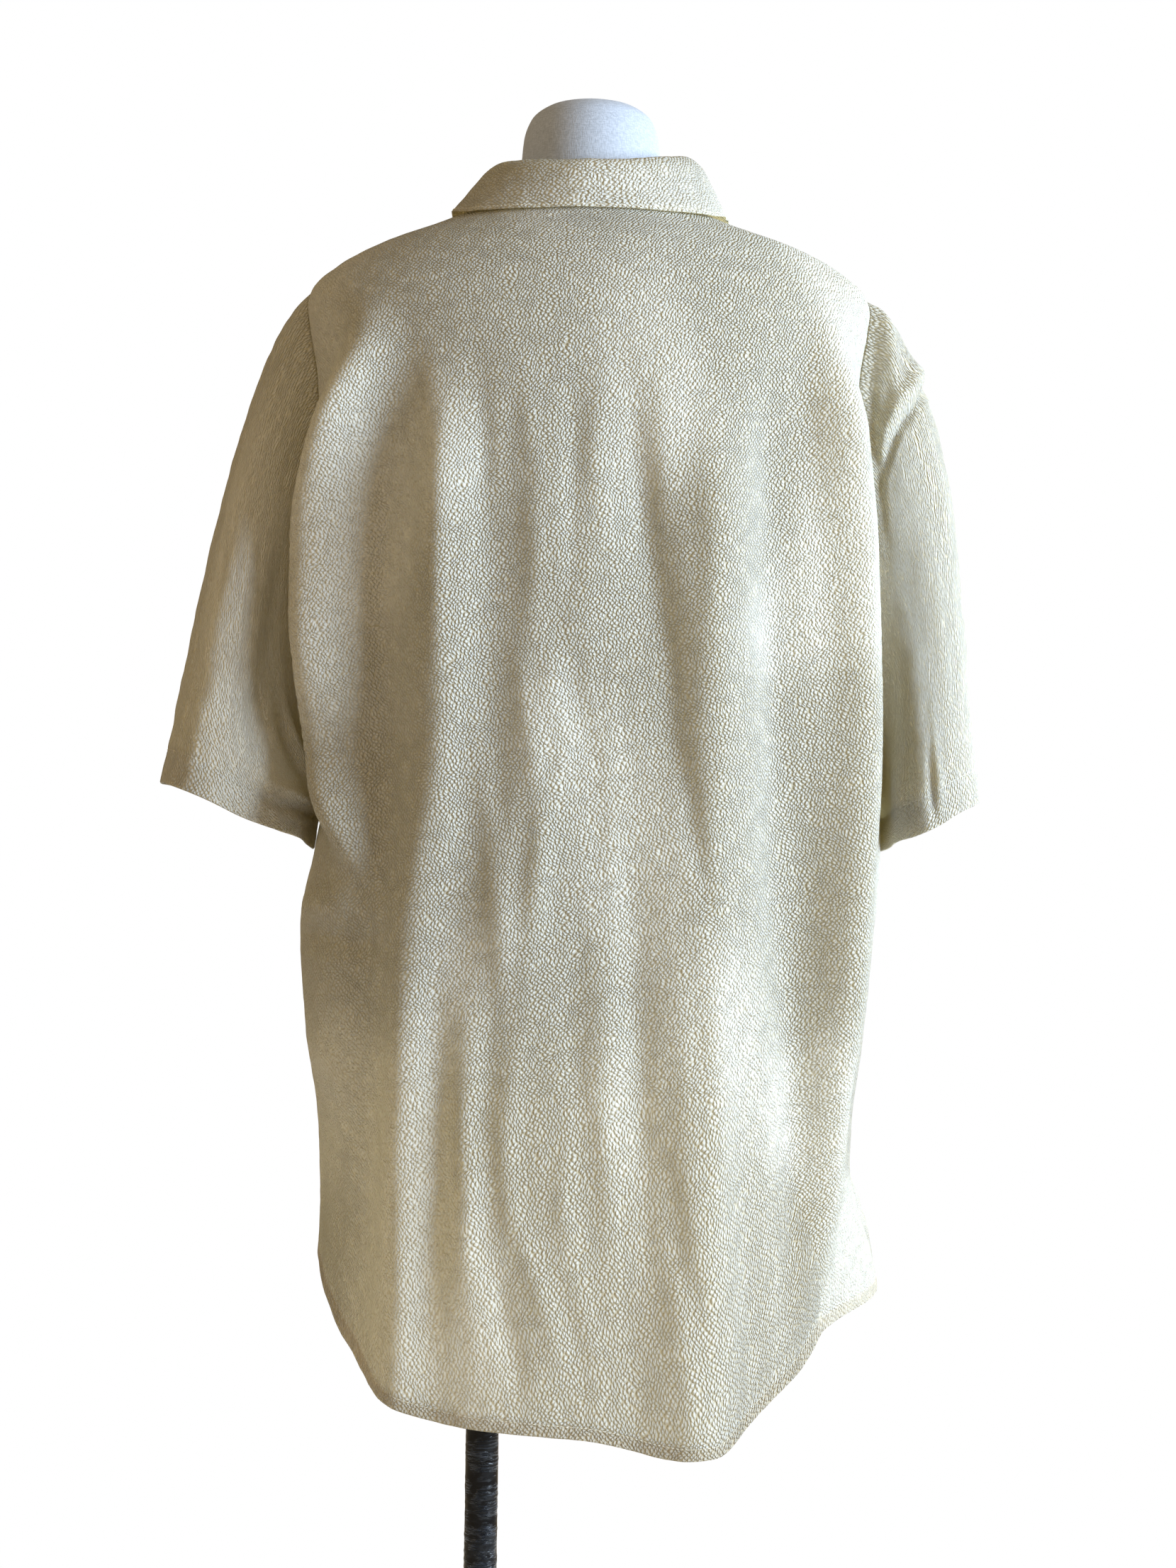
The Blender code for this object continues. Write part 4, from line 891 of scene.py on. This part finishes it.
COATS = {
    "crepe": crepe_material(),
    "thread": thread_material(),
    "jersey": jersey_material(),
    "film": film_material(),
    "metal": metal_material(),
    "button": button_material(),
}


def dress(obj, coat, replaced=()):
    """Gives a piece its material, its body and the nodes that it stands for."""
    obj.data.materials.clear()
    obj.data.materials.append(COATS[coat])
    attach(obj, "root")
    if replaced:
        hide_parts(*replaced)
    return obj


def crepe_piece(node, grid, **settings):
    """A cloth sheet that stands for one cut piece of the shirt."""
    return dress(cloth_sheet(node + "_cloth", grid, **settings), "crepe", (node,))


# Body of the shirt

BACK_COUNT = 150
FRONT_COUNT = 78


def make_back():
    grid = body_grid(back_angles, BACK_COUNT)
    return grid, crepe_piece("back", grid, hem_rows=hem_row(HEM_FOLD))


def make_front(name, side):
    lift = placket_lift if side > 0 else None
    grid = body_grid(lambda level, count: front_angles(level, side, count), FRONT_COUNT, lift)
    shown = grid if side > 0 else grid[:, ::-1]
    anchor = 0.0 if side > 0 else 1.0
    return grid, crepe_piece(name, shown, hem_rows=hem_row(HEM_FOLD), anchor=anchor)


# Sleeves


def armhole(side, count):
    """The armhole as a closed loop of angles and levels: underarm, up the back, shoulder, down the front."""
    up = arm_levels(count)
    turns = np.concatenate([arm_angle(up[:-1], ARM_BACK_ANGLE), -arm_angle(up[:0:-1], ARM_FRONT_ANGLE)])
    levels = np.concatenate([up[:-1], up[:0:-1]])
    return (turns if side > 0 else math.pi - turns), levels


def sleeve_fold(turn, share, folds):
    total = np.zeros(np.broadcast(turn, share).shape)
    for row in folds:
        fold = dict(zip(SLEEVE_FOLD_COLUMNS, row))
        away = (turn - fold["turn"] + 0.5) % 1.0 - 0.5
        grown = smoothstep(fold["start"], fold["start"] + 0.35, share)
        total = total + fold["rise"] * bell(away, fold["half_width"]) * grown
    return total


def sleeve_points(side, cuff_row, folds, turn, share, start):
    """Points of a sleeve: turn is where round the tube, share how far from the armhole to the cuff."""
    cuff = dict(zip(CUFF_COLUMNS, cuff_row))
    outer = np.array((cuff["outer_x"], 0, cuff["outer_z"]))
    inner = np.array((cuff["inner_x"], 0, cuff["inner_z"]))
    phase = 2 * np.pi * turn
    high = (1 - np.cos(phase)) / 2
    start = (start - (BODY_X, 0, 0)) * (side, 1, 1)
    end = (outer + inner) / 2 - np.cos(phase)[:, None] * (outer - inner) / 2
    end[:, 1] = cuff["half_depth"] * np.sin(phase) + cuff["mid_y"]
    end[:, 2] += cuff["back_lift"] * np.maximum(0.0, np.sin(phase))
    reach = np.linalg.norm(end - start, axis=1)[:, None]
    fall = UNDERARM_FALL + (cuff["shoulder_fall"] - UNDERARM_FALL) * high
    leave = unit(stacked(1.0, (SLEEVE_SPREAD[0] + SLEEVE_SPREAD[1] * high) * np.sin(phase), -fall))
    arrive = unit(np.array((cuff["lean"], 0.0, -1.0)))
    leave_pull = (UNDERARM_PULL + (cuff["shoulder_pull"] - UNDERARM_PULL) * high)[:, None]
    arrive_pull = reach * (SLEEVE_ARRIVE[0] + SLEEVE_ARRIVE[1] * high)[:, None]
    outward = unit(stacked(-np.cos(phase), np.sin(phase), SLEEVE_OUT_UP))
    points = hermite(start, end, leave * leave_pull, arrive * arrive_pull, share[:, None, None])
    points = points + outward * sleeve_fold(turn, share[:, None], folds)[..., None]
    points[..., 0] = BODY_X + side * points[..., 0]
    return points


def grid_normals(grid, closed):
    along = np.gradient(grid, axis=1)
    if closed:
        along[:, 0] = (grid[:, 1] - grid[:, -1]) / 2
        along[:, -1] = (grid[:, 0] - grid[:, -2]) / 2
    return unit(np.cross(along, np.gradient(grid, axis=0)) + 1e-12)


SLEEVE_HALF_LOOP = 76
SLEEVE_FINE_FROM = 0.9
CUFF_INSIDE = np.arange(0.0016, CUFF_FOLD, 0.0030)


def ring_above_cuff(grid, outward, to_cuff, distance):
    """Points and normals round the sleeve at one distance from the cuff edge."""
    rows = np.arange(len(grid))[::-1]
    at = np.array([np.interp(distance, to_cuff[::-1, i], rows) for i in range(grid.shape[1])])
    low = np.minimum(np.floor(at).astype(int), len(grid) - 2)
    part = (at - low)[:, None]
    column = np.arange(grid.shape[1])
    return grid[low, column] * (1 - part) + grid[low + 1, column] * part, outward[low, column]


def sleeve_relief(grid, turn, share, to_cuff, creases):
    """How far the cloth of a sleeve stands off its smooth form."""
    fade = smoothstep(0.0, 0.06, share)[:, None]
    crinkle = unevenness(grid, SLEEVE_CRINKLE)
    crinkle += (unevenness(grid, SLEEVE_SWELL) + unevenness(grid, SLEEVE_WAVE)) * fade
    dent = STITCH_DENT * bell(to_cuff - CUFF_FOLD + 0.001, 0.0015)
    pucker = unevenness(grid, CUFF_PUCKER) * bell(to_cuff, 0.012)
    u, v = np.meshgrid(turn * SLEEVE_GIRTH, share * SLEEVE_LENGTH)
    lines = np.array(creases) * ((SLEEVE_GIRTH, SLEEVE_LENGTH) * 3 + (1.0, 1.0))
    return crinkle + dent + pucker + creases_over(u, v, lines)


def make_sleeve(name, side, cuff_row, folds, creases):
    """A sleeve with its turned cuff, and the stitches that hold the cuff."""
    angles, levels = armhole(side, SLEEVE_HALF_LOOP)
    start = shirt_points(angles, levels, fine=False)
    turn = np.arange(len(angles)) / len(angles)
    coarse = np.linspace(0, SLEEVE_FINE_FROM, 100)[:-1]
    share = np.concatenate([coarse, np.linspace(SLEEVE_FINE_FROM, 1.0, 26)])
    grid = sleeve_points(side, cuff_row, folds, turn, share, start)
    outward = grid_normals(grid, True) * side
    to_cuff = running(np.linalg.norm(np.diff(grid, axis=0), axis=2)[::-1])[::-1]
    grid = grid + outward * sleeve_relief(grid, turn, share, to_cuff, creases)[..., None]
    inside = []
    for distance in CUFF_INSIDE:
        point, normal = ring_above_cuff(grid, outward, to_cuff, distance)
        inside.append(point - normal * (SHELL + FOLD_INSET))
    point, normal = ring_above_cuff(grid, outward, to_cuff, CUFF_FOLD - 0.001)
    seam = (np.concatenate([point, point[:1]]), np.concatenate([normal, normal[:1]]))
    tip = grid[-1] - outward[-1] * 0.0010 + np.array((0, 0, -0.0004))
    grid = np.concatenate([grid, tip[None], np.array(inside)])
    shown = grid[:, ::-1] if side < 0 else grid
    return crepe_piece(name, shown, closed=True), stitches(name + "_stitches", [seam])


# Collar


def folded_angle(angle):
    turn = np.degrees(angle)
    return np.where(turn <= 90, turn, 180 - turn)


def collar_turns(count):
    first = math.radians(COLLAR_EDGE_ROWS[0][0])
    return np.linspace(first, math.pi - first, count)


def collar_sections(angles):
    """The collar's eight guide points for each angle: neck seam, stand, roll, fall and outer edge."""
    seam = shirt_points(angles, np.full(angles.shape, NECK_LEVEL)) + (0, 0, COLLAR_BASE_GAP)
    turn = folded_angle(angles)
    depth = np.where(np.sin(angles) >= 0, ROLL_DEPTH_BACK, ROLL_DEPTH_FRONT)
    half_width = np.where(np.cos(angles) >= 0, ROLL_LEFT, ROLL_RIGHT)
    x = half_width * signed_power(np.cos(angles), 2 / ROLL_EXPONENT)
    y = depth * signed_power(np.sin(angles), 2 / ROLL_EXPONENT)
    rise = curve(COLLAR_RISE["angle"], COLLAR_RISE["rise"], turn)
    rise = rise + ROLL_RIGHT_LIFT * np.maximum(0.0, -np.cos(angles)) ** 2
    plain_seam = shirt_points(angles, np.full(angles.shape, NECK_LEVEL), fine=False)
    roll = stacked(BODY_X + x, y, plain_seam[:, 2] + rise)
    across = np.copysign(curve(COLLAR_EDGE["angle"], COLLAR_EDGE["across"], turn), np.cos(angles))
    level = curve(COLLAR_EDGE["angle"], COLLAR_EDGE["level"], turn)
    lift = CLOTH + COLLAR_LIFT + COLLAR_SIDE_LIFT * bell(turn, 20)
    on_back = raised(ring_angle(across, level, True), level, lift, fine=False)
    on_front = raised(ring_angle(across, level, False), level, lift, fine=False)
    edge = np.where((turn > 0)[:, None], on_back, on_front)
    outward = edge - roll
    outward[:, 2] = 0
    outward = unit(outward)
    down = np.array((0, 0, -1.0))
    return np.stack([
        seam - outward * 0.0015,
        (seam + roll) / 2 - outward * 0.002,
        roll - outward * 0.0015 + down * 0.003,
        roll + outward * 0.0012,
        roll + outward * 0.0048 + down * 0.0022,
        roll * 0.6 + edge * 0.4 + outward * 0.0035,
        roll * 0.3 + edge * 0.7 + outward * 0.0015,
        edge,
    ])


def through_guides(guides, shares):
    """Smooth lines through guide points, by length along them: guides is (points, lines, 3)."""
    length = running(np.linalg.norm(np.diff(guides, axis=0), axis=2).mean(axis=1))
    knots = length / length[-1]
    slopes = np.gradient(guides, knots, axis=0)
    i = np.clip(np.searchsorted(knots, shares) - 1, 0, len(knots) - 2)
    span = (knots[i + 1] - knots[i])[:, None, None]
    t = (shares - knots[i])[:, None, None] / span
    return hermite(guides[i], guides[i + 1], span * slopes[i], span * slopes[i + 1], t)


def make_collar():
    angles = collar_turns(220)
    guides = collar_sections(angles)
    share = np.concatenate([np.linspace(0, 0.90, 34)[:-1], np.linspace(0.90, 1.0, 10)])
    grid = through_guides(guides, share).transpose(1, 0, 2)
    normals = grid_normals(grid, False)
    from_edge = np.linalg.norm(grid - grid[:, -1:], axis=2)
    height = unevenness(grid, COLLAR_CRINKLE) + unevenness(grid, COLLAR_SWELL) * smoothstep(0.0, 0.4, share)
    height = height + STITCH_DENT * bell(from_edge - 0.0030, 0.0009)
    grid = grid + normals * height[..., None]
    return grid, crepe_piece("collar", grid, thickness=COLLAR_THICKNESS)


def make_facing(name, side):
    """The part of a front facing that turns out over the break as the lapel."""
    along, out = np.meshgrid(np.linspace(0, 1, 60), np.linspace(0, 1, 34), indexing="ij")
    level = LAPEL_START + (LAPEL_END - LAPEL_START) * along
    inner_x = front_edge_x(level) + FACING_IN
    foot_x = float(front_edge_x(np.array(LAPEL_START))) + LAPEL_FOOT
    outer_x = foot_x + (LAPEL_TIP[0] - foot_x) * along**LAPEL_CURVE
    outer_level = LAPEL_START + (LAPEL_TIP[1] - LAPEL_START) * along
    x = inner_x + (outer_x - inner_x) * out
    at = level + (outer_level - level) * out
    lift = CLOTH + (FACING_LIFT_LEFT if side > 0 else FACING_LIFT_RIGHT)
    lift = lift + FACING_ROLL * along * (1 - out) ** 2
    if side > 0:
        lift = lift + placket_lift(x, at)
    grid = raised(ring_angle(side * x, at, False), at, lift)
    grid = grid + grid_normals(grid, False) * unevenness(grid, FACING_CRINKLE)[..., None] * side
    return crepe_piece(name, grid if side > 0 else grid[:, ::-1], thickness=FACING_THICKNESS)


# Stitching and buttons

BUTTON_STEPS = 40
BUTTON_PROFILE = (
    (0.0046, BUTTON_THICKNESS - 0.0009),
    (BUTTON_RADIUS - 0.0009, BUTTON_THICKNESS - 0.0001),
    (BUTTON_RADIUS - 0.0004, BUTTON_THICKNESS - 0.0001),
    (BUTTON_RADIUS, BUTTON_THICKNESS - 0.0006),
    (BUTTON_RADIUS, 0.0010),
    (BUTTON_RADIUS - 0.0010, 0.0002),
)
BUTTON_HOLE_RADIUS = 0.00062
BUTTON_HOLE_SPREAD = 0.00099
BUTTON_HOLES = [
    (BUTTON_HOLE_SPREAD * x, BUTTON_HOLE_SPREAD * y, 0.0) for x, y in ((1, 1), (-1, 1), (-1, -1), (1, -1))
]
BUTTONHOLE_HALF_WIDTH = 0.0010
BUTTONHOLE_HALF_LENGTH = 0.0088
BUTTONHOLE_THREAD = 0.00055
BUTTON_THREAD = 0.00028
THREAD = 0.00022
THREAD_SIDES = 5
STITCH = 0.0026
STITCH_GAP = 0.0007
STITCH_START = 0.0015
STITCH_SECTIONS = ((0.0, -0.1, 0.45), (0.3, 0.75, 1.0), (0.7, 0.75, 1.0), (1.0, -0.1, 0.45))


def one_stitch(middle, up, first):
    """Points and faces of a short rounded thread, with its points numbered from first."""
    ahead = unit(middle[-1] - middle[0])
    across = np.cross(ahead, up)
    points, faces = [], []
    for place, (_, height, width) in zip(middle, STITCH_SECTIONS):
        for turn in even_turns(THREAD_SIDES):
            spoke = across * math.cos(turn) + up * math.sin(turn)
            points.append(tuple(place + up * THREAD * height + spoke * THREAD * width))
    for k in range(len(STITCH_SECTIONS) - 1):
        for i in range(THREAD_SIDES):
            j = (i + 1) % THREAD_SIDES
            a, b = first + k * THREAD_SIDES, first + (k + 1) * THREAD_SIDES
            faces.append((a + i, a + j, b + j, b + i))
    last = first + (len(STITCH_SECTIONS) - 1) * THREAD_SIDES
    faces.append(tuple(range(first + THREAD_SIDES - 1, first - 1, -1)))
    faces.append(tuple(range(last, last + THREAD_SIDES)))
    return points, faces


def stitches(name, lines):
    """Short threads lying along each line of points, pressed a little into the cloth."""
    points, faces = [], []
    shares = np.array([section[0] for section in STITCH_SECTIONS])
    for line, normals in lines:
        length = running(np.linalg.norm(np.diff(line, axis=0), axis=1))
        for start in np.arange(STITCH_START, length[-1] - STITCH, STITCH + STITCH_GAP):
            steps = start + STITCH * shares
            middle = np.stack([np.interp(steps, length, line[:, k]) for k in range(3)], axis=1)
            up = unit(np.array([np.interp(steps[0], length, normals[:, k]) for k in range(3)]))
            more_points, more_faces = one_stitch(middle, up, len(points))
            points += more_points
            faces += more_faces
    mesh = bpy.data.meshes.new(name)
    mesh.from_pydata(points, [], faces)
    mesh.shade_smooth()
    return dress(new_object(name, mesh), "thread")


def hem_stitches(name, grid, side):
    """The row of stitches that holds a body panel's folded hem."""
    row = hem_row(HEM_FOLD - 0.001)
    return stitches(name, [(grid[row], grid_normals(grid, False)[row] * side)])


def collar_stitches(grid):
    """The row of stitches along the collar's outer edge and its two ends."""
    normals = grid_normals(grid, False)
    places = ((slice(None), -4), (2, slice(3, -3)), (-3, slice(3, -3)))
    return stitches("collar_stitches", [(grid[place], normals[place]) for place in places])


def thread_curve(name, lines, radius, closed=False):
    """A round thread along each line of points."""
    data = bpy.data.curves.new(name, "CURVE")
    data.dimensions = "3D"
    data.bevel_depth = radius
    data.bevel_resolution = 2
    for line in lines:
        spline = data.splines.new("POLY")
        spline.points.add(len(line) - 1)
        for point, place in zip(spline.points, line):
            point.co = (*place, 1.0)
        spline.use_cyclic_u = closed
    return dress(new_object(name, data), "thread")


def button_level(number):
    return BUTTON_TOP - (number - 1) * BUTTON_PITCH


def buttonhole(number):
    """The worked edge of a buttonhole, upright under its button on the left front."""
    turn = even_turns(40)
    x = BUTTONHOLE_HALF_WIDTH * signed_power(np.cos(turn), 0.7)
    z = button_level(number) + BUTTONHOLE_HALF_LENGTH * signed_power(np.sin(turn), 0.7)
    places = raised(ring_angle(x, z, False), z, placket_lift(x, z) + 0.0002, fine=False)
    return thread_curve(f"buttonhole_{number}", [places], BUTTONHOLE_THREAD, closed=True)


def button_seat(number):
    """The turn and place of a button that lies on the placket."""
    level = np.array([button_level(number)])
    angle = ring_angle(np.array([0.0]), level, False)
    seat = raised(angle, level, placket_lift(0.0, level) + 0.0003, fine=False)[0]
    normal = shirt_normals(angle, level, fine=False)[0]
    turn = Vector(normal).to_track_quat("Z", "Y").to_matrix().to_4x4()
    turn.translation = Vector(seat)
    return turn


def drill(obj):
    """Cuts the four holes of a button."""
    holes = []
    for x, y, _ in BUTTON_HOLES:
        rows = [circle(BUTTON_HOLE_RADIUS, z, 12, x, y) for z in (-0.002, 0.006)]
        hole = ring_mesh("hole", rows, top=(x, y, 0.006), bottom=(x, y, -0.002))
        cut = obj.modifiers.new("hole", "BOOLEAN")
        cut.operation = "DIFFERENCE"
        cut.object = hole
        cut.solver = "EXACT"
        holes.append(hole)
    graph = bpy.context.evaluated_depsgraph_get()
    mesh = bpy.data.meshes.new_from_object(obj.evaluated_get(graph))
    obj.modifiers.clear()
    obj.data = mesh
    for hole in holes:
        bpy.data.objects.remove(hole)


def detailed_button(number):
    """A four-hole button with a raised rim, sewn on with crossed threads."""
    rows = [circle(radius, level, BUTTON_STEPS) for radius, level in BUTTON_PROFILE]
    top = (0.0, 0.0, BUTTON_THICKNESS - 0.0010)
    obj = ring_mesh(f"button_{number}_sewn", rows[::-1], top=top, bottom=(0.0, 0.0, 0.0002))
    drill(obj)
    seat = button_seat(number)
    obj.data.transform(seat)
    obj.data.shade_smooth()
    dress(obj, "button", (f"button_{number}",))
    lines = []
    for start, end in zip(BUTTON_HOLES[:2], BUTTON_HOLES[2:]):
        line = []
        for share in np.linspace(0, 1, 7):
            place = Vector(start).lerp(Vector(end), share)
            place.z = BUTTON_THICKNESS - 0.0012 + 0.0006 * math.sin(math.pi * share)
            line.append(seat @ place)
        lines.append(line)
    thread_curve(f"button_{number}_thread", lines, BUTTON_THREAD)


# Dress form


def make_torso():
    levels = (np.linspace(TORSO_FOOT, 1.47, 120), np.linspace(1.47, 1.4965, 22), TORSO["level"])
    angle, level = np.meshgrid(even_turns(96), np.unique(np.concatenate(levels)))
    at = {name: curve(TORSO["level"], TORSO[name], level) for name in TORSO_COLUMNS[1:]}
    depth = np.where(np.sin(angle) >= 0, at["back"], at["front"])
    shrink = 1 - 0.05 * bell(level - TORSO_FOOT, 0.003)
    x = BODY_X + at["half_width"] * signed_power(np.cos(angle), 2 / at["exponent"]) * shrink
    y = depth * signed_power(np.sin(angle), 2 / at["exponent"]) * shrink
    z = level - at["drop"] * np.maximum(0.0, -np.sin(angle)) ** 1.5
    top, bottom = (BODY_X, 0, NECK_TOP), (BODY_X, 0, TORSO_FOOT)
    obj = ring_mesh("form_jersey_cover", stacked(x, y, z), top=top, bottom=bottom)
    dress(obj, "jersey", ("form_torso",))


def make_pole():
    """The pole in its film, which is drawn into fine slanting ridges."""
    angle, level = np.meshgrid(even_turns(56), np.linspace(POLE_BOTTOM, POLE_TOP, 330))
    plain = stacked(POLE_RADIUS * np.cos(angle), POLE_RADIUS * np.sin(angle), level)
    slant = plain + stacked(0.0, 0.0, 0.14 * plain[..., 0] + 0.10 * plain[..., 1])
    wrinkle = ripple(slant * (0.20, 0.20, 1.0), 0.0062)
    ridge = np.maximum(0.0, 1 - np.abs(wrinkle) / 0.10)
    radius = POLE_RADIUS + FILM_RIDGE * ridge + unevenness(plain, FILM_SWELL)
    rows = stacked(radius * np.cos(angle), radius * np.sin(angle), level)
    obj = ring_mesh("pole_wrapped", rows, top=(0, 0, POLE_TOP), bottom=(0, 0, POLE_BOTTOM))
    dress(obj, "film", ("form_pole",))


def make_base():
    profile = (
        (BASE_RADIUS - 0.002, 0.0),
        (BASE_RADIUS - 0.0005, 0.0008),
        (BASE_RADIUS, 0.0022),
        (BASE_RADIUS, BASE_EDGE - 0.003),
        (BASE_RADIUS - 0.0012, BASE_EDGE - 0.0010),
        (BASE_RADIUS - 0.004, BASE_EDGE),
        (BASE_RADIUS - 0.020, BASE_EDGE + 0.003),
        (0.100, 0.0145),
        (SOCKET_RADIUS + 0.010, BASE_CROWN - 0.0006),
        (SOCKET_RADIUS + 0.004, BASE_CROWN),
    )
    rows = [circle(radius, level, 128) for radius, level in profile]
    obj = ring_mesh("base_plate", rows, top=(0, 0, BASE_CROWN), bottom=(0, 0, 0))
    dress(obj, "metal", ("form_base",))


back_grid, back_cloth = make_back()
left_grid, left_cloth = make_front("front_left", 1)
right_grid, right_cloth = make_front("front_right", -1)
sleeve_left, sleeve_left_stitches = make_sleeve(
    "sleeve_left", 1, CUFF_LEFT, SLEEVE_FOLDS_LEFT, SLEEVE_CREASES_LEFT
)
sleeve_right, sleeve_right_stitches = make_sleeve(
    "sleeve_right", -1, CUFF_RIGHT, SLEEVE_FOLDS_RIGHT, SLEEVE_CREASES_RIGHT
)
collar_grid, collar = make_collar()
facing_left = make_facing("facing_left", 1)
facing_right = make_facing("facing_right", -1)
back_stitches = hem_stitches("back_stitches", back_grid, 1)
left_stitches = hem_stitches("front_left_stitches", left_grid, 1)
right_stitches = hem_stitches("front_right_stitches", right_grid, -1)
collar_rows = collar_stitches(collar_grid)
buttonholes = [buttonhole(number) for number in range(1, BUTTON_COUNT + 1)]
for number in range(1, BUTTON_COUNT + 1):
    detailed_button(number)
make_torso()
make_pole()
make_base()
for name in ("form_socket", "form_flange"):
    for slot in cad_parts[name].material_slots:
        slot.material = COATS["metal"]

# Stage, lights and camera

FLOOR_RADIUS = 1.10
CAMERA_PLACE = (-0.073, 1.8, 0.98)
CAMERA_LENS = 54.1
CAMERA_TILT = math.radians(0.9)

# Name, place, target, size, power and colour of each light
LIGHTS = (
    ("window", (-2.05, 0.95, 1.50), (-0.07, 0.0, 1.02), (1.2, 1.5), 127.0, (0.78, 0.95, 1.14)),
    ("room_fill", (1.9, 1.6, 1.8), (-0.07, 0.0, 1.0), (1.6, 1.6), 12.0, (1.0, 0.82, 0.58)),
    ("front_fill", (-0.9, -2.2, 1.7), (-0.07, 0.0, 1.0), (1.6, 1.6), 46.0, (1.0, 0.95, 0.86)),
)


def make_floor():
    profile = ((FLOOR_RADIUS, -0.012), (FLOOR_RADIUS, -0.002), (FLOOR_RADIUS - 0.002, 0.0), (0.6, 0.0))
    rows = [circle(radius, level, 96) for radius, level in profile]
    floor = ring_mesh("floor", rows, top=(0, 0, 0), bottom=(0, 0, -0.012))
    floor.data.materials.append(floor_material())


def area_light(name, place, target, size, power, colour):
    data = bpy.data.lights.new(name, "AREA")
    data.shape = "RECTANGLE"
    data.size, data.size_y = size
    data.energy = power
    data.color = colour
    light = new_object(name, data)
    light.location = place
    light.rotation_euler = (Vector(target) - Vector(place)).to_track_quat("-Z", "Y").to_euler()


def background(tree, colour, strength):
    made = tree.nodes.new("ShaderNodeBackground")
    made.inputs["Color"].default_value = (*colour, 1.0)
    made.inputs["Strength"].default_value = strength
    return made


def make_world():
    """White behind the object, and a dim warm light from all round for its shaded side."""
    world = bpy.data.worlds.new("studio")
    bpy.context.scene.world = world
    world.use_nodes = True
    tree = world.node_tree
    tree.nodes.clear()
    output = tree.nodes.new("ShaderNodeOutputWorld")
    mix = tree.nodes.new("ShaderNodeMixShader")
    path = tree.nodes.new("ShaderNodeLightPath")
    room = background(tree, (1.0, 0.79, 0.52), 0.375)
    paper = background(tree, (1.0, 1.0, 1.0), 1.0)
    tree.links.new(path.outputs["Is Camera Ray"], mix.inputs[0])
    tree.links.new(room.outputs[0], mix.inputs[1])
    tree.links.new(paper.outputs[0], mix.inputs[2])
    tree.links.new(mix.outputs[0], output.inputs["Surface"])


def make_camera():
    """Behind the wearer, level, at the photograph's own slight tilt."""
    right, up = Vector((-1, 0, 0)), Vector((0, 0, 1))
    image_right = right * math.cos(CAMERA_TILT) + up * math.sin(CAMERA_TILT)
    image_up = -right * math.sin(CAMERA_TILT) + up * math.cos(CAMERA_TILT)
    data = bpy.data.cameras.new("camera")
    data.lens = CAMERA_LENS
    data.sensor_fit = "VERTICAL"
    data.sensor_height = 36.0
    camera = new_object("camera", data)
    turn = Matrix((image_right, image_up, Vector((0, 1, 0)))).transposed().to_4x4()
    turn.translation = CAMERA_PLACE
    camera.matrix_world = turn
    bpy.context.scene.camera = camera


make_floor()
for name, place, target, size, power, colour in LIGHTS:
    area_light(name, place, target, size, power, colour)
make_world()
make_camera()
bpy.context.scene.view_settings.view_transform = "Standard"
